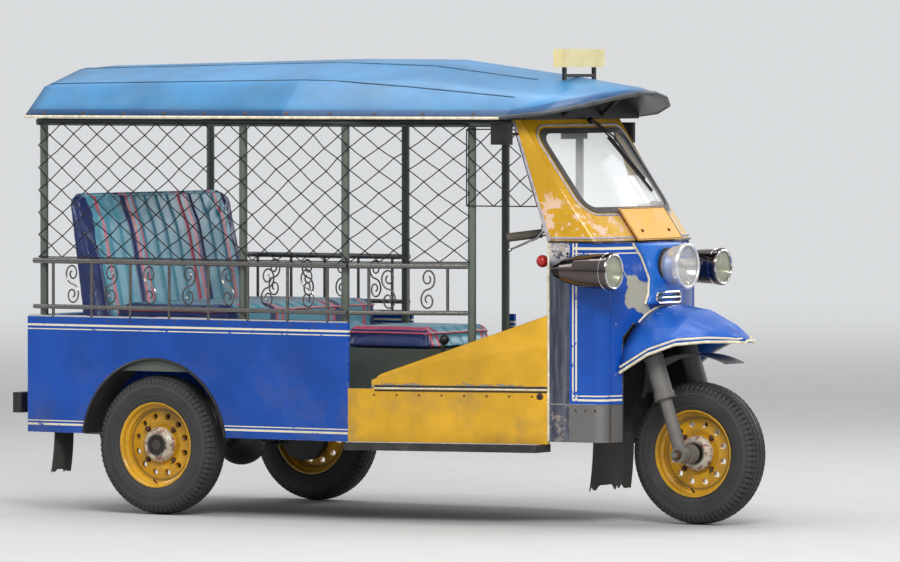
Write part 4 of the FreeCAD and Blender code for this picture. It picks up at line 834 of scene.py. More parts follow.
def wheel_trim():
    """Nuts round the disc, and a valve, on each wheel's outer sides."""
    for body, rim, side in WHEEL_SIDES:
        centre = centre_of(rim)
        out = Vector((0, side, 0))
        hand = "left" if side > 0 else "right"
        probe = Probe(rim)
        bm = bmesh.new()
        for k in range(4):
            a = math.pi / 4 + k * math.pi / 2
            x, z = centre.x + NUT_CIRCLE * math.cos(a), centre.z + NUT_CIRCLE * math.sin(a)
            place = probe.hit((x, centre.y + side * 0.3, z), -out)[0]
            add_bolt(bm, place - out * 0.001, out, 0.009, 0.014)
        piece(f"{rim}_nuts_{hand}", bm, "engine_metal", body, "rusty_bolt")
        bm = bmesh.new()
        foot = centre + out * VALVE_OUT - UP * VALVE_DROP
        add_tube(bm, [foot, foot + out * 0.012 + UP * 0.004, foot + out * 0.022 + UP * 0.014], 0.0035)
        piece(f"{rim}_valve_{hand}", bm, "black_trim", body)


def axle_nuts():
    """Greasy nut and washer on each end of the front axle."""
    low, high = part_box("fork")
    bore, washer, nut = 0.0102, 0.003, 0.0155
    bm = bmesh.new()
    for side, end in ((-1, low.y), (1, high.y)):
        base = Vector((FRONT, end - side * 0.0248, WHEEL_RADIUS))
        axis = (0, side, 0)
        add_lathe(bm, [(0, bore), (0, 0.019), (washer, 0.019), (washer, bore)], base, axis, 24)
        add_lathe(bm, [(washer, bore), (washer, nut), (0.016, nut), (0.018, 0.0135), (0.018, bore)], base, axis, 6)
    piece("axle_nuts", bm, "fork_grey", "steering", "rusty_bolt")


# Net on the closed side

NET_ACROSS = 0.054
NET_UP = 0.044
NET_CORD = 0.0023
NET_EDGE = NET_CORD * 1.1
FRONT_NET_FOOT = BELT + 0.137  # above the sweep of the grips


def add_net_panel(bm, a, b, low, high, beyond=lambda place: -1.0):
    """Knotted diamond net between two plan points. It stops where beyond(place) is above 0."""
    along = b - a
    columns = max(2, 2 * round(along.length / NET_ACROSS / 2))
    rows = max(2, 2 * round((high - low) / NET_UP / 2))

    def inside(i, j):
        return 0 < i < columns and 0 < j < rows

    knots = {}
    for i in range(columns + 1):
        for j in range(i % 2, rows + 1, 2):
            place = a + along * (i / columns) + UP * (low + (high - low) * j / rows)
            if inside(i, j):
                place += Vector((rng.uniform(-0.005, 0.005), rng.uniform(-0.0006, 0.0006), rng.uniform(-0.006, 0.002)))
            knots[i, j] = place
    for (i, j), place in knots.items():
        for dj in (-1, 1):
            other = knots.get((i + 1, j + dj))
            if other is None:
                continue
            first, start, end = place, beyond(place), beyond(other)
            if start > 0 and end > 0:
                continue
            if start > 0 or end > 0:
                cut = place.lerp(other, start / (start - end))
                first, other = (cut, other) if start > 0 else (place, cut)
            middle = first.lerp(other, 0.5) - UP * rng.uniform(0.0, 0.002)
            add_tube(bm, [first, middle, other], NET_CORD, 5)
        if inside(i, j) and beyond(place) < -0.004:
            add_ball(bm, place, NET_CORD * 1.9, 1)


def net():
    """The side net from the front post to the rear, bent in plan where the tub's side begins."""
    low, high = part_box("side_net")
    probe = Probe("side_net")
    places = (TUB_FRONT - 0.0005 * k for k in range(200))
    bend = next(x for x in places if abs(probe.side(x, 1.2, -1).y - low.y) < 1e-4)
    rear_y = low.y + 0.0025
    start, corner, end = Vector((high.x - 0.001, high.y - 0.0025, 0)), at(bend, rear_y, 0), Vector((low.x, rear_y, 0))
    heights = low.z + 0.003, high.z - 0.003
    bm = bmesh.new()
    for a, b in ((start, corner), (corner, end)):
        add_net_panel(bm, a, b, *heights)
        for z in heights:
            add_tube(bm, [a.lerp(b, t / 12) + UP * z for t in range(13)], NET_EDGE, 6)
    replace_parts(piece("side_net_cords", bm, "net_cord"), "side_net")
    forward_net(Vector((start.x - 0.012, start.y, 0)), high.z - 0.022)


def forward_net(post, head):
    """The piece from the front post to the windscreen frame's slanted rear edge."""
    screen_low, screen_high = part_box("windscreen_frame")
    high_edge = Vector((screen_low.x - 0.003, -0.380, screen_high.z))
    low_edge = at(CAB_REAR - 0.003, -0.380, BELT)
    slope = (high_edge - low_edge).normalized()
    normal = Vector((slope.z, 0, -slope.x))
    bm = bmesh.new()
    fore = Vector((low_edge.x, low_edge.y, 0))
    add_net_panel(bm, fore, post, FRONT_NET_FOOT, head, lambda place: (place - low_edge).dot(normal))
    rise = screen_high.z - BELT
    slant = [low_edge.lerp(high_edge, t) for t in steps((FRONT_NET_FOOT - BELT) / rise, (head - BELT) / rise, 5)]
    lower, upper = post + UP * FRONT_NET_FOOT, post + UP * head
    for line in (slant, [lower, slant[0]], [upper, slant[-1]], [lower.lerp(upper, t / 8) for t in range(9)]):
        add_tube(bm, line, NET_EDGE, 6)
    piece("front_net_cords", bm, "net_cord")


# Seats: swollen forms with sewn channels and piping

VOXEL = 0.008
SWELL_FRAMES = 20
SWELL_PRESSURE = 4.0
SWELL_LIMIT = 0.014
HELD_EDGE = 0.012
PLEAT_WIDTH = 0.014


def apply_modifiers(obj):
    graph = bpy.context.evaluated_depsgraph_get()
    mesh = bpy.data.meshes.new_from_object(obj.evaluated_get(graph))
    obj.modifiers.clear()
    obj.data = mesh


def blank(name, shape, bevel):
    """A closed starting form for a seat, made from a unit box by moving its points."""
    bm = bmesh.new()
    bmesh.ops.create_cube(bm, size=1.0, matrix=Matrix.Translation((0.5, 0.5, 0.5)))
    bmesh.ops.bevel(bm, geom=list(bm.edges), offset=bevel, segments=3, profile=0.6, affect="EDGES")
    for vert in bm.verts:
        vert.co = shape(*vert.co)
    mesh = bpy.data.meshes.new(name)
    bm.to_mesh(mesh)
    bm.free()
    obj = bpy.data.objects.new(name, mesh)
    bpy.context.collection.objects.link(obj)
    remesh = obj.modifiers.new("remesh", "REMESH")
    remesh.mode = "VOXEL"
    remesh.voxel_size = VOXEL
    apply_modifiers(obj)
    return obj


def inflate(objects, held):
    """Swells closed forms by cloth pressure, up to a limit, holding the points that held(obj, point) picks."""
    before = {}
    for obj in objects:
        before[obj.name] = [v.co.copy() for v in obj.data.vertices]
        group = obj.vertex_groups.new(name="held")
        group.add([v.index for v in obj.data.vertices if held(obj, v.co)], 1.0, "REPLACE")
        cloth = obj.modifiers.new("cloth", "CLOTH")
        cloth.settings.use_pressure = True
        cloth.settings.uniform_pressure_force = SWELL_PRESSURE
        cloth.settings.effector_weights.gravity = 0.0
        cloth.settings.vertex_group_mass = "held"
        cloth.settings.quality = 4
        cloth.point_cache.frame_start = 1
        cloth.point_cache.frame_end = SWELL_FRAMES
    scene = bpy.context.scene
    for number in range(1, SWELL_FRAMES + 1):
        scene.frame_set(number)
    for obj in objects:
        apply_modifiers(obj)
        for vert, start in zip(obj.data.vertices, before[obj.name]):
            move = vert.co - start
            if move.length > SWELL_LIMIT:
                vert.co = start + move * (SWELL_LIMIT / move.length)
        obj.vertex_groups.clear()
    scene.frame_set(1)


def pleat(value, pitch):
    """0 between sewn lines and 1 on a line."""
    away = abs((value / pitch + 0.5) % 1.0 - 0.5) * pitch
    return max(0.0, 1.0 - away / PLEAT_WIDTH) ** 1.5


def finish_seat(obj, node, axis, pitch, depth):
    low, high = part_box(node)
    normals = [v.normal.copy() for v in obj.data.vertices]
    for vert, normal in zip(obj.data.vertices, normals):
        vert.co -= normal * (depth * max(0.0, normal[axis]) ** 0.5 * pleat(vert.co.y, pitch))
        for k in range(3):
            vert.co[k] = min(high[k], max(low[k], vert.co[k]))
    for polygon in obj.data.polygons:
        polygon.use_smooth = True
    obj.data.materials.append(materials["seat_vinyl"])
    smooth = obj.modifiers.new("smooth", "SUBSURF")
    smooth.levels = smooth.render_levels = 1
    apply_modifiers(obj)
    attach(obj, "body")
    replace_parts(obj, node)


def seats():
    def boxed(node, inset):
        low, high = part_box(node)
        low = low + Vector((inset, inset, 0.001))
        high = high - Vector((inset, inset, inset))
        return lambda *shares: Vector([a + (b - a) * t for a, b, t in zip(low, high, shares)])

    low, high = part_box("passenger_backrest")
    back_probe = Probe("passenger_backrest")
    inset = 0.010

    def back_face(z, x, way):
        """Where the backrest's front or rear lies at a height."""
        return back_probe.hit((x, 0, min(max(z, low.z + 0.002), high.z - 0.002)), (way, 0, 0))[0].x

    def back_shape(u, v, w):
        z = low.z + 0.001 + (high.z - low.z - inset) * w
        y = low.y + inset + (high.y - low.y - 2 * inset) * v
        front = back_face(z, high.x + 0.5, -1) - inset
        rear = back_face(z, low.x - 0.5, 1) + 0.004
        return Vector((rear + (front - rear) * u, y, z))

    cushion = blank("passenger_cushion_cover", boxed("passenger_cushion", 0.010), 0.10)
    driver = blank("driver_seat_cover", boxed("driver_seat", 0.008), 0.12)
    back = blank("passenger_backrest_cover", back_shape, 0.10)
    solids = {cushion.name: "passenger_cushion", driver.name: "driver_seat", back.name: "passenger_backrest"}

    def held(obj, point):
        base = point.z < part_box(solids[obj.name])[0].z + HELD_EDGE
        return base or obj is back and point.x < back_face(point.z, low.x - 0.5, 1) + HELD_EDGE

    inflate([cushion, driver, back], held)
    finish_seat(cushion, "passenger_cushion", 2, 0.08, 0.009)
    finish_seat(driver, "driver_seat", 2, 0.0833, 0.009)
    finish_seat(back, "passenger_backrest", 0, 0.08, 0.010)


def seat_piping():
    """Piping sewn round the upper edge of each seat, on the swollen cover."""
    corner, inset = 0.045, 0.004
    for node, name in (("passenger_cushion", "cushion_piping"), ("driver_seat", "driver_piping")):
        low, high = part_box(node)
        bm = bmesh.new()
        bm.from_mesh(bpy.data.objects[node + "_cover"].data)
        cover = BVHTree.FromBMesh(bm)
        bm.free()
        loop = []
        for x, y, start in ((high.x - corner, low.y + corner, -90), (high.x - corner, high.y - corner, 0),
                            (low.x + corner, high.y - corner, 90), (low.x + corner, low.y + corner, 180)):
            for a in map(math.radians, steps(start, start + 90, 6)):
                loop.append(Vector((x, y, high.z - 0.022)) + Vector((math.cos(a), math.sin(a), 0)) * (corner - inset))
        nearest = [cover.find_nearest(point) for point in resample(loop + loop[:1], 0.03)[:-1]]
        bm = bmesh.new()
        add_tube(bm, [place + normal * 0.0015 for place, normal, _, _ in nearest], 0.004, 8, True, UP)
        piece(name, bm, "seat_vinyl", material="piping")


# Mudflaps, with waves and ragged lower edges


def add_flap(bm, x, y0, y1, low, high, thick, ragged):
    """A hanging rubber sheet across the vehicle, curling towards its lower edge."""
    columns, rows = 24, 16
    sheets = []
    for face in (0.0, thick):
        grid = []
        for i in range(columns + 1):
            u = i / columns
            cut = ragged * (0.5 + 0.5 * math.sin(23.0 * u + 3.0 * math.sin(9.0 * u))) if 0 < i < columns else 0.0
            line = []
            for j in range(rows + 1):
                v = j / rows
                wave = 0.008 * v * v * math.sin(7.0 * u + 2.0) + 0.012 * v * v * v
                line.append(bm.verts.new((x - face - wave, y0 + (y1 - y0) * u, high + (low + cut - high) * v)))
            grid.append(line)
        sheets.append(grid)
    front, back = sheets
    for i in range(columns):
        for j in range(rows):
            bm.faces.new((front[i][j], front[i + 1][j], front[i + 1][j + 1], front[i][j + 1]))
            bm.faces.new((back[i][j], back[i][j + 1], back[i + 1][j + 1], back[i + 1][j]))
    rim = [(i, 0) for i in range(columns)] + [(columns, j) for j in range(rows)]
    rim += [(i, rows) for i in range(columns, 0, -1)] + [(0, j) for j in range(rows, 0, -1)]
    for (a, b), (c, d) in zip(rim, rim[1:] + rim[:1]):
        bm.faces.new((front[a][b], back[a][b], back[c][d], front[c][d]))


def mudflaps():
    low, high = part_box("mudflaps")
    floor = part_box("floor_pan")[0].z
    bm = bmesh.new()
    add_flap(bm, high.x, -0.150, 0.150, low.z, floor - 0.016, 0.005, 0.022)
    for side in (-1, 1):
        outer = side * high.y
        add_flap(bm, low.x + 0.005, outer, outer - side * 0.125, low.z + 0.030, floor - 0.011, 0.005, 0.012)
    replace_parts(piece("mudflap_sheets", bm, "flap_rubber"), "mudflaps")
    bm = bmesh.new()
    for y in (-0.12, -0.04, 0.04, 0.12):
        add_bolt(bm, (high.x + 0.0002, y, 0.375), AHEAD, 0.006, 0.005)
    piece("front_flap_bolts", bm, "chassis_black", material="rusty_bolt")


# Front of the cab: mouldings, vent, lamps, plate and windscreen trim


def cab_ring(probe, z, reach, count, proud=0.0):
    """Points round the cab's outside at one height, as far as an angle from dead ahead on each side."""
    middle = at(-0.30, 0, z)
    points = []
    for a in map(math.radians, steps(-reach, reach, count)):
        way = Vector((math.cos(a), math.sin(a), 0))
        place, normal = probe.hit(middle + way * 1.5, -way)
        if place is not None:
            points.append(place + normal * proud)
    return points


def cowl_trim():
    """Edging, joint and rivets of the bright strips, and the seam and rivets of the skirt."""
    cab = Probe("front_cowl", "cowl_skirt", "cowl_strips")
    low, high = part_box("cowl_strips")
    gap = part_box("wheel_well")[1].y + 0.012
    seam = cab_ring(cab, BLUE_BOTTOM, 118, 96)
    edging, strips, skirt, rivets = (bmesh.new() for _ in range(4))
    for side in (-1, 1):
        add_tube(edging, [(low.x + 0.002, side * (high.y - 0.001), z) for z in (low.z, high.z)], 0.0045, 8)
        joint = [cab.side(STRIP_FRONT - 0.001, z, side) for z in (BLUE_BOTTOM + 0.01, BELT - 0.145, BELT - 0.003)]
        add_tube(strips, joint, 0.0022, 6)
        for z in (0.345, 0.43, 0.52, 0.62, 0.72, 0.82, 1.055):
            for dx in (-0.070, -0.010):
                add_dome(strips, *cab.flank(STRIP_FRONT + dx, z, side), 0.0042, 0.002)
        add_tube(skirt, [p for p in seam if p.y * side > gap], 0.003, 6)
        for x in (-0.33, -0.29, -0.25):
            add_dome(rivets, *cab.flank(x, BLUE_BOTTOM - 0.022, side), 0.005, 0.0025)
    piece("strip_edging", edging, "cowl_blue", material="cream_bead")
    piece("strip_rivets", strips, "stainless")
    piece("skirt_seam", skirt, "bare_aluminium")
    piece("skirt_rivets", rivets, "bare_aluminium", material="rusty_bolt")


# down from the belt, half width
NOSE_EDGE = [(0.004, 0.172), (0.058, 0.138), (0.138, 0.112), (0.198, 0.116), (0.236, 0.134)]
VENT_HEIGHT = 0.8655
VENT_HALF = 0.070
VENT_RISE = 0.0205


def nose_trim():
    """Chipped bead down both edges of the raised nose, and the slotted vent under the headlamp."""
    cowl = Probe("front_cowl")
    bm = bmesh.new()
    for side in (-1, 1):
        corners = [Vector((0, side * w, BELT - drop)) for drop, w in NOSE_EDGE]
        line = [cowl.front(p.y + side * 0.003, p.z, 0.002) for p in resample(corners, 0.012)]
        add_tube(bm, [p for p in line if p], 0.0048, 8)
    piece("nose_beads", bm, "cowl_blue", material="cream_bead")
    nose = Probe("nose_panel")
    ring = [nose.front(math.copysign(VENT_HALF, c) + VENT_RISE * c, VENT_HEIGHT + VENT_RISE * s, 0.003)
            for c, s in turn_points(40)]
    end = VENT_HALF + VENT_RISE
    bm = bmesh.new()
    add_tube(bm, ring, 0.0048, 8, True, AHEAD)
    add_tube(bm, [nose.front(y, VENT_HEIGHT, 0.003) for y in (-end, -0.03, 0, 0.03, end)], 0.0036, 8)
    piece("vent_rim", bm, "chrome")
    # Painted shade: a flat black sheet under the vent's rim stands for the dark openings between its bars.
    bm = bmesh.new()
    centre = bm.verts.new(nose.front(0, VENT_HEIGHT, 0.001))
    edge = [bm.verts.new(nose.front(p.y, p.z, 0.001)) for p in ring]
    for a, b in zip(edge, edge[1:] + edge[:1]):
        bm.faces.new((centre, a, b))
    piece("vent_shade_sheet", bm, "black_trim")


def add_bowl(bm, centre, rim, depth, width, segments):
    """A lamp's reflector, open ahead."""
    shares = (1, 0.85, 0.7, 0.55, 0.4, 0.25, 0.12)
    profile = [(rim - depth * (1 - r * r), 0.0015 + width * r) for r in shares]
    add_lathe(bm, profile, centre, AHEAD, segments)


HEADLAMP_RIM = 0.0815
SIDE_LAMP_RIM = 0.0640
SIDE_LAMP_LINE = 0.0688


def lamp_trim():
    """Gasket, bezels, reflectors and bulbs of the headlamp and the side lamps."""
    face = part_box("headlamp_shell")[1].x
    centre = Vector((0, 0, centre_of("headlamp_lens").z))
    bm = bmesh.new()
    gasket = face - 0.0935
    profile = [(gasket, 0.052), (gasket, 0.070), (gasket + 0.008, 0.069), (gasket + 0.008, 0.052)]
    add_lathe(bm, profile, centre, AHEAD, 48)
    piece("headlamp_gasket", bm, "black_trim")
    bm = bmesh.new()
    add_bowl(bm, centre, face - 0.0125, 0.058, 0.071, 48)
    piece("headlamp_reflector", bm, "chrome", material="mirror_silver")
    bm = bmesh.new()
    bulb = [(0.070, 0.012), (0.058, 0.012), (0.056, 0.009), (0.045, 0.011), (0.034, 0.010), (0.028, 0.005), (0.027, 0)]
    add_lathe(bm, [(face - back, r) for back, r in bulb], centre, AHEAD, 20)
    piece("headlamp_bulb", bm, "lamp_glass", material="paper")
    bm = bmesh.new()
    add_tube(bm, circle(centre + Vector((face - 0.002, 0, 0)), HEADLAMP_RIM, 56), 0.0062, 12, True, AHEAD)
    for a in map(math.radians, (90, 210, 330)):
        way = Vector((0, math.cos(a), math.sin(a)))
        add_dome(bm, centre + Vector((face - 0.014, 0, 0)) + way * 0.0875, way, 0.005, 0.003)
    piece("headlamp_bezel", bm, "chrome", material="lamp_chrome")
    low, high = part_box("side_lamp_lenses")
    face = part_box("side_lamp_shells")[1].x
    bulb = [(0.050, 0.008), (0.036, 0.008), (0.028, 0.011), (0.018, 0.010), (0.012, 0.005), (0.011, 0)]
    bezels, reflectors, bulbs = (bmesh.new() for _ in range(3))
    for side in (-1, 1):
        centre = Vector((0, side * (high.y - (high.z - low.z) / 2), (low.z + high.z) / 2))
        add_tube(bezels, circle(centre + Vector((face - 0.001, 0, 0)), SIDE_LAMP_RIM, 56), 0.0045, 8, True, AHEAD)
        add_tube(bezels, circle(centre + Vector((face - 0.030, 0, 0)), SIDE_LAMP_LINE, 56), 0.0022, 6, True, AHEAD)
        add_bowl(reflectors, centre, face - 0.011, 0.040, 0.0565, 40)
        add_lathe(bulbs, [(face - back, r) for back, r in bulb], centre, AHEAD, 20)
    piece("side_lamp_bezels", bezels, "chrome")
    piece("side_lamp_reflectors", reflectors, "chrome")
    piece("side_lamp_bulbs", bulbs, "lamp_glass", material="paper")


# place along the vehicle, half width, crest and lower edge over the tyre's top
GUARD_ROWS = [(-0.190, 0.282, 0.287, 0.040), (-0.080, 0.262, 0.293, 0.110), (0.020, 0.226, 0.277, 0.149),
              (0.120, 0.160, 0.230, 0.159), (0.190, 0.084, 0.183, 0.158), (0.219, 0.034, 0.163, 0.153)]


def row_between(rows, x):
    """The row of a table at a place along the vehicle."""
    for a, b in zip(rows, rows[1:]):
        if a[0] <= x <= b[0]:
            t = (x - a[0]) / (b[0] - a[0])
            return tuple(p + (q - p) * t for p, q in zip(a, b))
    return rows[-1]


def guard_point(x, side, back, out=0.0):
    """A point on the mudguard's section, back along its arc from the lower edge."""
    x, half, crest, edge = row_between(GUARD_ROWS, x)
    rise = crest - edge
    radius = (half * half + rise * rise) / (2 * rise)
    middle = 2 * WHEEL_RADIUS + crest - radius
    angle = math.atan2(half, 2 * WHEEL_RADIUS + edge - middle) - back / radius
    r = radius + out
    return at(x, side * r * math.sin(angle), middle + r * math.cos(angle))


def guard_trim():
    """Double bead along the mudguard's lower edge, and one along its joint with the cab."""
    cab = Probe("front_cowl", "nose_panel", "cowl_skirt")
    guard = Probe("front_mudguard")

    def outside(p):
        face = cab.front(p.y, p.z)
        return face is None or p.x > face.x - 0.002

    bm = bmesh.new()
    # back from the edge, radius, where the side lines stop, place of the arch between them, its points' way back
    for back, radius, stop, tip, ways in ((0.0, 0.0055, 0.219, 0.2189, (0.010, 0.022)),
                                          (0.021, 0.0045, 0.196, 0.2, (0.028,))):
        right = [guard_point(x, -1, back, 0.0005) for x in steps(-0.19, stop, 56)]
        right = [p for p in right if outside(p)]
        arch = [guard_point(tip, -1, way) for way in ways]
        add_tube(bm, right + arch + mirrored(right + arch)[::-1], radius, 8)
    joint = []
    for y in steps(-0.262, 0.262, 48):
        z = 0.80
        for _ in range(8):
            face = cab.front(y, z)
            if face is None:
                break
            place = guard.hit((face.x + 0.001, y, 1.4), -UP)[0]
            if place is None:
                break
            z = place.z
        else:
            joint.append(Vector((face.x + 0.002, y, z + 0.001)))
    add_tube(bm, joint, 0.0042, 8)
    piece("guard_beads", bm, "cowl_blue", material="cream_bead")


SCREEN_RAKE = math.radians(36.0)
SCREEN_UP = Vector((-math.sin(SCREEN_RAKE), 0, math.cos(SCREEN_RAKE)))
SCREEN_OUT = Vector((math.cos(SCREEN_RAKE), 0, math.sin(SCREEN_RAKE)))


def screen_place(y, up, out):
    """A point over the raked front: across, up the slope from the belt, and out of the face."""
    return Vector((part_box("windscreen_frame")[1].x, y, BELT)) + SCREEN_UP * up + SCREEN_OUT * out


WINDOW_HALF_LOW = 0.322
WINDOW_HALF_HIGH = 0.326
WINDOW_CORNER = 0.062


def window_loop(grow):
    """Points (across, height) round the window opening, grown outward."""
    low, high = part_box("windscreen_rubber")
    bottom, top = low.z + 0.002 - grow, high.z - 0.002 + grow
    half_low, half_high, r = WINDOW_HALF_LOW + grow, WINDOW_HALF_HIGH + grow, WINDOW_CORNER + grow
    loop = []
    for y, z, start in ((half_low - r, bottom + r, -90), (half_high - r, top - r, 0), (r - half_high, top - r, 90),
                        (r - half_low, bottom + r, 180)):
        loop += [Vector((0, y + r * math.cos(a), z + r * math.sin(a)))
                 for a in map(math.radians, steps(start, start + 90, 16))]
    return resample(loop + loop[:1], 0.02)[:-1]


def screen_trim():
    """Pale beads round the window, up the frame's rear edges and over the belt joint."""
    shell = Probe("windscreen_frame")
    bm = bmesh.new()
    loop = [shell.front(p.y, p.z, 0.001) for p in window_loop(0.012)]
    add_tube(bm, [p for p in loop if p], 0.0038, 8, True, AHEAD)
    low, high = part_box("windscreen_frame")
    xs, zs = steps(CAB_REAR, low.x - FRONT, 24), steps(BELT + 0.006, high.z - 0.006, 24)
    for side in (-1, 1):
        line = [shell.side(x + 0.007, z, side, 0.0008) for x, z in zip(xs, zs)]
        add_tube(bm, [p for p in line if p], 0.0050, 8)
    add_tube(bm, cab_ring(shell, BELT + 0.018, 110, 110, 0.0008), 0.0040, 8)
    piece("screen_beads", bm, "frame_yellow", material="lavender_bead")
    bm = bmesh.new()
    add_tube(bm, cab_ring(shell, BELT + 0.0035, 112, 110), 0.0035, 6)
    piece("belt_joint", bm, "black_trim")


# across, up from the rubber's lower edge, width, height, and turn in degrees
PAPERS = [(0.020, 0.082, 0.115, 0.100, -3), (0.118, 0.084, 0.066, 0.104, 2), (0.191, 0.086, 0.068, 0.098, -2),
          (0.259, 0.080, 0.056, 0.092, 3)]


def papers():
    """Blank papers behind the lower part of the glass."""
    pane = Probe("windscreen_glass")
    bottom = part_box("windscreen_rubber")[0].z
    shares = steps(-0.5, 0.5, 6)
    bm = bmesh.new()
    for across, up, width, height, turn in PAPERS:
        c, s = math.cos(math.radians(turn)), math.sin(math.radians(turn))
        grid = []
        for u in shares:
            line = []
            for v in shares:
                y, z = across + u * width * c - v * height * s, bottom + up + u * width * s + v * height * c
                place = pane.hit((FRONT - 1.5, y, z), AHEAD)[0]
                line.append(bm.verts.new(place - Vector((0.0015, 0, 0))))
            grid.append(line)
        for a, b in zip(grid, grid[1:]):
            for j in range(6):
                bm.faces.new((a[j], b[j], b[j + 1], a[j + 1]))
    piece("screen_papers", bm, "sign_cream", material="paper")


def wiper():
    """Twin arms from a pivot over the window, with a thick blade against the glass."""
    over = Probe("windscreen_glass", "windscreen_frame", "windscreen_rubber").front
    low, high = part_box("wiper")
    pivot = over(0.030, high.z - 0.012, 0.004)
    top_y, top_z, tip_y, tip_z = 0.098, high.z - 0.075, 0.205, low.z + 0.012
    mid_y, mid_z = (top_y + tip_y) / 2, (top_z + tip_z) / 2
    half_y, half_z = (0.03 + mid_y) / 2, (pivot.z + mid_z) / 2
    bm = bmesh.new()
    add_lathe(bm, [(-0.012, 0.012), (0.010, 0.012), (0.014, 0.008), (0.014, 0)], pivot, (0.81, 0, 0.59), 20)
    inner = [pivot + Vector((0.009, 0, 0.006)), over(half_y, half_z, 0.020), over(mid_y, mid_z, 0.013)]
    outer = [pivot + Vector((0.006, 0.026, 0)), over(half_y + 0.024, half_z + 0.008, 0.022),
             over(mid_y + 0.014, mid_z - 0.018, 0.013)]
    blade = [over(y, z, 0.006) for y, z in zip(steps(top_y, tip_y, 10), steps(top_z, tip_z, 10))]
    spine = [p + Vector((0.007, 0, 0.005)) for p in blade[2:9]]
    for line, radius, sides in ((inner, 0.0036, 8), (outer, 0.0036, 8), (blade, 0.0062, 8), (spine, 0.0042, 6)):
        add_tube(bm, line, radius, sides)
    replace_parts(piece("wiper_arms", bm, "black_trim"), "wiper")


def plate_trim():
    """Thin dark edge round the blank plate, and its two bolts."""
    out = 0.0112
    side, low, high = 0.166, 0.007, 0.149
    bm = bmesh.new()
    corners = [screen_place(y, up, out) for y, up in ((-side, low), (side, low), (side, high), (-side, high))]
    add_frame(bm, corners, 0.0017, 6)
    piece("plate_edge", bm, "black_trim")
    bm = bmesh.new()
    for y in (-0.10, 0.10):
        add_bolt(bm, screen_place(y, 0.045, out - 0.0004), SCREEN_OUT, 0.0055, 0.005)
    piece("plate_bolts", bm, "chassis_black", material="rusty_bolt")


# Roof trim

# place along the vehicle, half width, rise of the lower edge
ROOF_ROWS = [(-2.700, 0.640, 0.0), (-1.500, 0.640, 0.0), (-1.050, 0.600, 0.0), (-0.590, 0.470, 0.0),
             (-0.440, 0.432, 0.016), (-0.330, 0.330, 0.044), (-0.262, 0.192, 0.074), (-0.235, 0.060, 0.092)]


def roof_trim():
    """Beading along the roof's lower edge, the visor's edging, fasteners and seams."""
    edge = resample([at(x, -half, ROOF_EDGE + rise) for x, half, rise in ROOF_ROWS], 0.02)
    bm = bmesh.new()
    rear = [p + Vector((0, 0.004, 0.001)) for p in edge if p.x <= FRONT - 0.585]
    add_tube(bm, rear, 0.0055, 8)
    add_tube(bm, mirrored(rear), 0.0055, 8)
    piece("roof_beading", bm, "roof_blue", material="cream_bead")
    bm = bmesh.new()
    right = [p + Vector((0, 0.003, 0.004)) for p in edge if p.x >= FRONT - 0.62]
    add_tube(bm, right + mirrored(right)[::-1], 0.0085, 8)
    piece("visor_edging", bm, "black_trim", material="slate_edge")
    shell = Probe("roof_panel")
    fasteners, seams = bmesh.new(), bmesh.new()
    for side in (-1, 1):
        for x in steps(-0.72, -2.62, 10):
            add_dome(fasteners, *shell.flank(x, ROOF_EDGE + 0.016, side), 0.0075, 0.004)
        for share in (0.36, 0.72):
            line = [shell.top(FRONT + x, side * share * row_between(ROOF_ROWS, x)[1]) for x in steps(-2.695, -0.62, 60)]
            add_tube(seams, [p for p in line if p is not None], 0.0032, 6)
    piece("roof_fasteners", fasteners, "roof_blue", material="rusty_bolt")
    piece("roof_seams", seams, "roof_blue")


# Rails, tub and side trim


def add_scroll(bm, middle, along, height, width):
    """An S of two spirals in an upright plane."""
    for turn in (1, -1):
        points = []
        for t in steps(0, 1, 30):
            a = 0.5 * math.pi + 2.9 * math.pi * t
            r = 0.25 * height * (1 - 0.78 * t)
            spot = UP * (height * 0.25 - r * math.sin(a)) + along * (width / height * 2 * r * math.cos(a))
            points.append(middle + spot * turn)
        add_tube(bm, points, 0.0034, 6)


RAIL_REAR = -2.670
RIGHT_RAIL_FRONT = -1.203
LEFT_RAIL_FRONT = -1.700


def rail_trim():
    """Scrollwork in the bays of the rails, of the same metal."""
    low, high = TUB_TOP + 0.040, TUB_TOP + 0.220
    z = (low + high) / 2
    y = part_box("side_rails")[1].y - 0.011
    bm = bmesh.new()
    # the rail's two ends, its bays, and the scrolls' width
    right = (at(RAIL_REAR, -y, z), at(RIGHT_RAIL_FRONT, -y, z), 8, 0.066)
    left = (at(RAIL_REAR, y, z), at(LEFT_RAIL_FRONT, y, z), 6, 0.060)
    slanting = (at(-0.779, -0.4273, z), at(-1.196, -y, z), 3, 0.060)
    for a, b, bays, width in (right, left, slanting):
        for i in range(1, bays):
            along = (b - a).normalized() * (1 if i % 2 else -1)
            add_scroll(bm, a.lerp(b, i / bays), along, high - low - 0.014, width)
    piece("rail_scrolls", bm, "chrome", material="rail_metal")


ARCH_RADIUS = 0.335
ENTRY_REAR = -1.72


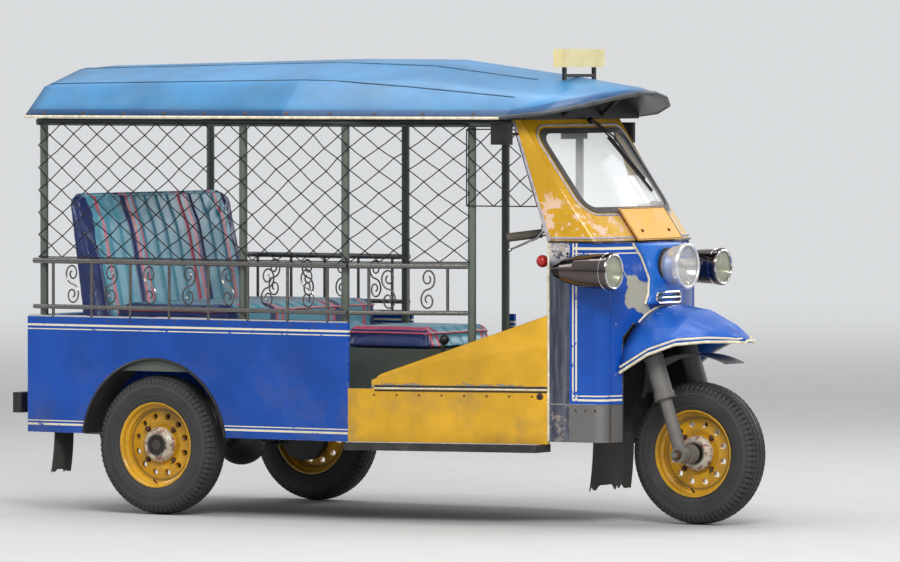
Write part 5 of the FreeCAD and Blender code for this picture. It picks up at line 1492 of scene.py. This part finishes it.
def tub_trim():
    """Rolled edges along the tub's top and round its wheel arches, and rivets."""
    bm = bmesh.new()
    start = math.asin((TUB_LOW - WHEEL_RADIUS + 0.004) / ARCH_RADIUS)
    for side in (-1, 1):
        y = side * (TUB_HALF - 0.002)
        line = [Vector((REAR + ARCH_RADIUS * math.cos(a), y, WHEEL_RADIUS + ARCH_RADIUS * math.sin(a)))
                for a in steps(start, math.pi - start, 48)]
        add_tube(bm, line, 0.007, 8)
    piece("arch_edging", bm, "black_trim")
    bm = bmesh.new()
    top, y = TUB_TOP + 0.001, TUB_HALF - 0.007
    right = resample([at(TUB_FRONT - 0.004, -y, top), at(TUB_REAR + 0.004, -y, top)], 0.2)
    left = [at(TUB_REAR + 0.004, y, top), at(ENTRY_REAR, y, top)]
    for line in (right, left, [at(TUB_REAR + 0.006, -y, top), at(TUB_REAR + 0.006, y, top)]):
        add_tube(bm, line, 0.0066, 8)
    piece("tub_top_edging", bm, "chrome")
    bm = bmesh.new()
    for side in (-1, 1):
        for i in range(14):
            x = TUB_FRONT - 0.05 - 0.107 * i
            if side < 0 or x <= ENTRY_REAR - 0.03:
                add_dome(bm, at(x, side * TUB_HALF, TUB_TOP - 0.012), (0, side, 0), 0.004, 0.002)
    for y in steps(-0.52, 0.52, 8):
        add_dome(bm, at(TUB_REAR, y, TUB_TOP - 0.014), (-1, 0, 0), 0.005, 0.003)
    piece("tub_rivets", bm, "cowl_blue", material="rusty_bolt")


def fairing_trim():
    """Rolled edge on each fairing's slanted top, and the seam, bead, studs and grommet over the sill."""
    low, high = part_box("side_fairings")
    front, rear = high.x - FRONT - 0.004, low.x - FRONT + 0.006
    probe, both = Probe("side_fairings"), Probe("side_fairings", "sill_panels")
    rolls, channel, bead, studs, rings = (bmesh.new() for _ in range(5))
    for side in (-1, 1):
        inward = Vector((0, -side, 0))
        places = [probe.side(x, 0.56, side) for x in steps(front, rear, 24)]
        places = [p + inward * 0.013 for p in places if p is not None]
        line = [Vector((p.x, p.y, probe.hit((p.x, p.y, 2.0), -UP)[0].z)) for p in places]
        end = line[-1]
        down = [end + Vector((-0.010, side * 0.001, -0.006)), end + Vector((-0.016, side * 0.002, -0.022)),
                Vector((end.x - 0.017, end.y + side * 0.002, SEAM_HEIGHT + 0.004))]
        add_tube(rolls, line + down, 0.0125, 10)
        for bm, z, radius, proud in ((channel, 0.010, 0.0042, 0.0), (channel, -0.007, 0.0030, 0.0),
                                     (bead, 0.0015, 0.0036, 0.0008)):
            line = [both.side(x, SEAM_HEIGHT + z, side, proud) for x in steps(CAB_REAR - 0.003, rear + 0.006, 28)]
            add_tube(bm, [p for p in line if p is not None], radius, 6)
        for i in range(8):
            add_dome(studs, *both.flank(CAB_REAR - 0.06 - 0.085 * i, SEAM_HEIGHT - 0.024, side), 0.0045, 0.0022)
        grommet = both.flank(CAB_REAR - 0.030, SEAM_HEIGHT - 0.024, side)
        add_lathe(rings, [(0.0, 0.007), (0.0, 0.014), (0.002, 0.0125), (0.002, 0.007)], *grommet, 24)
        add_lathe(channel, [(0.0002, 0.0072), (0.0012, 0.0072), (0.0012, 0)], *grommet, 24)
    piece("fairing_rolls", rolls, "frame_yellow")
    piece("fairing_channel", channel, "black_trim")
    piece("fairing_beads", bead, "frame_yellow", material="cream_bead")
    piece("sill_studs", studs, "frame_yellow", material="rusty_bolt")
    piece("sill_grommets", rings, "frame_yellow", material="rusty_bolt")


def board_ribs():
    """Five ribs along each running board."""
    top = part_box("running_boards")[1].z - 0.0005
    bm = bmesh.new()
    for side in (-1, 1):
        for k in range(5):
            inward = side * (0.004 + 0.011 * k)
            ends = [at(CAB_REAR - 0.016, side * 0.455 - inward, top), at(TUB_FRONT + 0.004, side * 0.648 - inward, top)]
            add_tube(bm, ends, 0.0022, 6)
    piece("board_ribs", bm, "bare_aluminium")


def rear_trim():
    """Lamp bezels, reflectors and ribs on the back, and bumper bolts."""
    low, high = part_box("tail_lamps")
    half, grown = 0.045, 0.048
    z = (low.z + high.z) / 2
    bm = bmesh.new()
    for y in (low.y + half, high.y - half):
        middle = Vector((high.x - 0.004, y, z))
        corners = [middle + Vector((0, sy * grown, sz * grown)) for sy, sz in SQUARE]
        add_frame(bm, corners, 0.004, 8)
    piece("tail_lamp_bezels", bm, "chrome")
    bm = bmesh.new()
    for y in (-0.42, 0.42):
        profile = [(0, 0), (0, 0.026), (0.006, 0.026), (0.008, 0.022), (0.008, 0)]
        add_lathe(bm, profile, at(TUB_REAR, y, 0.50), (-1, 0, 0), 28)
    piece("rear_reflectors", bm, "lamp_red")
    low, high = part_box("rear_bumper")
    z = (low.z + high.z) / 2
    bm = bmesh.new()
    for y in (-0.40, 0.40):
        for dz in (-0.020, 0.020):
            add_bolt(bm, (low.x + 0.0075, y, z + dz), (-1, 0, 0), 0.009, 0.007)
    piece("bumper_bolts", bm, "chassis_black", material="rusty_bolt")
    bm = bmesh.new()
    for y in (-0.30, 0.0, 0.30):
        add_tube(bm, [at(TUB_REAR - 0.0005, y, 0.46), at(TUB_REAR - 0.0005, y, TUB_TOP - 0.05)], 0.006, 8)
    piece("rear_panel_ribs", bm, "cowl_blue")


KNOB_ACROSS = -0.338


def controls_trim():
    """Levers on the bar, and the red knob on the dashboard's end."""
    low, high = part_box("grips")
    bm = bmesh.new()
    for side in (-1, 1):
        knuckle = Vector((low.x + 0.155, side * 0.205, high.z + 0.006))
        # each lever hangs below its grip, and so passes behind the windscreen frame at full lock
        elbow = Vector((low.x + 0.125, side * 0.222, high.z - 0.035))
        end = Vector((low.x + 0.028, side * 0.262, high.z - 0.080))
        add_tube(bm, [knuckle, elbow, elbow.lerp(end, 0.5), end], lambda t: 0.006 - 0.002 * t, 8)
        add_ball(bm, end, 0.008, 2)
        add_block(bm, knuckle, (0.030, 0.026, 0.030), 0.004)
    piece("bar_levers", bm, "chrome", "steering")
    low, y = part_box("dashboard")[0], KNOB_ACROSS
    lip = Probe("dashboard").top(low.x + 0.012, y).z
    foot, ball = Vector((low.x + 0.004, y, lip - 0.006)), Vector((low.x - 0.072, y, lip + 0.006))
    bm = bmesh.new()
    add_tube(bm, [foot, foot.lerp(ball, 0.5) + UP * 0.004, ball], 0.005, 8)
    piece("knob_stalk", bm, "chrome", material="dark_chrome")
    bm = bmesh.new()
    add_ball(bm, ball, 0.024, 3)
    piece("red_knob", bm, "lamp_red", material="knob_red")


MAT_PLACE = -1.40


def floor_mat():
    """Ribbed mat on the floor between the seats."""
    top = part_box("floor_pan")[1].z
    bm = bmesh.new()
    add_block(bm, at(MAT_PLACE, 0.0, top + 0.0025), (0.30, 0.96, 0.004), 0.001)
    for y in steps(-0.46, 0.46, 23):
        add_block(bm, at(MAT_PLACE, y, top + 0.0055), (0.28, 0.012, 0.003))
    piece("floor_mat", bm, "flap_rubber", material="floor_mat")


FORK_RAKE = math.radians(18.5)
FORK_SPREAD = 0.140
FLAP_ANGLE = math.radians(122)


def fork_trim():
    """Bands on the upper covers, and a ragged flap under the inner fender."""
    up = Vector((-math.sin(FORK_RAKE), 0, math.cos(FORK_RAKE)))
    across = Vector((0, 1, 0))
    bm = bmesh.new()
    for side in (-1, 1):
        foot = Vector((FRONT, side * FORK_SPREAD, WHEEL_RADIUS))
        for rise, radius in ((0.222, 0.0425), (0.245, 0.0385), (0.385, 0.0385)):
            add_tube(bm, circle(foot + up * rise, radius, 36, across, up.cross(across)), 0.0024, 6, True, up)
    piece("fork_bands", bm, "fork_grey", "steering")
    radius = WHEEL_RADIUS + 0.108
    x, z = FRONT + radius * math.cos(FLAP_ANGLE) + 0.004, WHEEL_RADIUS + radius * math.sin(FLAP_ANGLE)
    bm = bmesh.new()
    add_flap(bm, x, -0.070, 0.070, z - 0.115, z + 0.004, 0.004, 0.020)
    piece("fender_flap", bm, "flap_rubber", "steering")


# Stage, lights and camera

SKY_TONE = (0.93, 0.95, 0.97)
SKY_STRENGTH = 0.75
FLOOR_HALF = 400.0


def stage():
    """A wide grey floor that far off takes the backdrop's tone, so that no horizon shows."""
    mesh = bpy.data.meshes.new("floor")
    corners = [(sx * FLOOR_HALF, sy * FLOOR_HALF, 0) for sx, sy in SQUARE]
    mesh.from_pydata(corners, [], [(0, 1, 2, 3)])
    floor = bpy.data.objects.new("floor", mesh)
    bpy.context.collection.objects.link(floor)
    g = Graph("floor")
    tone = g.mix(g.noise(5.0, 6.0, 0.6), (0.43, 0.425, 0.42), (0.51, 0.505, 0.50))
    g.bump(g.noise(90.0, 4.0), 0.15, 0.002)
    mesh.materials.append(g.set(color=tone, rough=0.85, spec=0.15))
    away = g.step(g.radius(g.x, g.y), 3.5, 26.0)
    glow = g.node("Emission", {"Color": SKY_TONE, "Strength": SKY_STRENGTH})
    surface = g.node("MixShader", {0: away, 1: Wire(g, g.bsdf.outputs[0]), 2: glow})
    out = next(n for n in g.tree.nodes if n.type == "OUTPUT_MATERIAL")
    g.put(surface, out.inputs["Surface"])


def world():
    """A pale studio: an even backdrop for the camera, and a brighter overhead with a dark band for reflections."""
    sky = bpy.data.worlds.new("studio")
    bpy.context.scene.world = sky
    sky.use_nodes = True
    tree = sky.node_tree
    path, coords, split, ramp, mix = (
        tree.nodes.new("ShaderNode" + kind) for kind in ("LightPath", "TexCoord", "SeparateXYZ", "ValToRGB", "Mix"))
    stops = ramp.color_ramp.elements
    stops[0].position, stops[0].color = 0.0, (0.10, 0.10, 0.105, 1)
    stops[1].position, stops[1].color = 1.0, (1.0, 1.0, 1.0, 1)
    for position, tone in ((0.06, 0.16), (0.14, 0.60), (0.40, 0.85)):
        stops.new(position).color = (tone, tone, tone * 1.02, 1)
    mix.data_type = "RGBA"
    sockets = {s.identifier: s for s in [*mix.inputs, *mix.outputs]}
    back = tree.nodes["Background"]
    for source, target in ((coords.outputs["Generated"], split.inputs[0]), (split.outputs[2], ramp.inputs[0]),
                           (path.outputs["Is Glossy Ray"], sockets["Factor_Float"]),
                           (ramp.outputs[0], sockets["B_Color"]), (sockets["Result_Color"], back.inputs["Color"])):
        tree.links.new(source, target)
    sockets["A_Color"].default_value = (*SKY_TONE, 1)
    back.inputs["Strength"].default_value = SKY_STRENGTH


# place, size, power and colour, each aimed at the vehicle's middle
LAMPS = {
    "key": ((5.0, -5.5, 6.0), (4.0, 3.0), 560.0, (1.0, 0.98, 0.95)),
    "top": ((-1.0, 0.5, 7.5), (6.0, 4.0), 300.0, (1, 1, 1)),
    "fill": ((3.0, 6.5, 4.0), (4.0, 3.0), 160.0, (0.95, 0.97, 1.0)),
    "back": ((-7.0, -2.0, 4.5), (4.0, 3.0), 160.0, (0.95, 0.97, 1.0)),
}


def lights():
    for name, (place, size, power, color) in LAMPS.items():
        data = bpy.data.lights.new(name, "AREA")
        data.shape = "RECTANGLE"
        data.size, data.size_y = size
        data.energy = power
        data.color = color
        obj = bpy.data.objects.new(name, data)
        bpy.context.collection.objects.link(obj)
        obj.location = place
        obj.rotation_euler = (Vector((0, 0, 0.8)) - Vector(place)).to_track_quat("-Z", "Y").to_euler()
        obj.visible_camera = False


def camera():
    """Long lens, aimed so that the front wheel's contact point falls on its named pixel."""
    turn = math.radians(CAMERA_TURN)
    away = Vector((math.cos(turn), -math.sin(turn), 0))
    focal = PIXELS_PER_METRE * CAMERA_DISTANCE
    data = bpy.data.cameras.new("camera")
    data.sensor_width = 36.0
    data.lens = focal / FRAME_WIDTH * data.sensor_width
    data.clip_end = 500.0
    obj = bpy.data.objects.new("camera", data)
    bpy.context.collection.objects.link(obj)
    obj.location = at(0, 0, 0) + away * CAMERA_DISTANCE + Vector((0, 0, CAMERA_HEIGHT))
    drop = math.atan2(CAMERA_HEIGHT, CAMERA_DISTANCE)
    tilt = drop - math.atan2(CONTACT_PIXEL[1] - FRAME_HEIGHT / 2, focal)
    swing = math.atan2(CONTACT_PIXEL[0] - FRAME_WIDTH / 2, focal)
    look = -away
    look.rotate(Matrix.Rotation(swing, 3, "Z"))
    look = look * math.cos(tilt) + Vector((0, 0, -math.sin(tilt)))
    obj.rotation_euler = look.to_track_quat("-Z", "Y").to_euler()
    bpy.context.scene.camera = obj


for build in (tyres, wheel_trim, axle_nuts, net, seats, seat_piping, mudflaps, cowl_trim, nose_trim, lamp_trim,
              guard_trim, screen_trim, papers, wiper, plate_trim, roof_trim, rail_trim, tub_trim, fairing_trim,
              board_ribs, rear_trim, controls_trim, floor_mat, fork_trim, stage, world, lights, camera):
    build()
bpy.context.scene.view_settings.view_transform = "Standard"
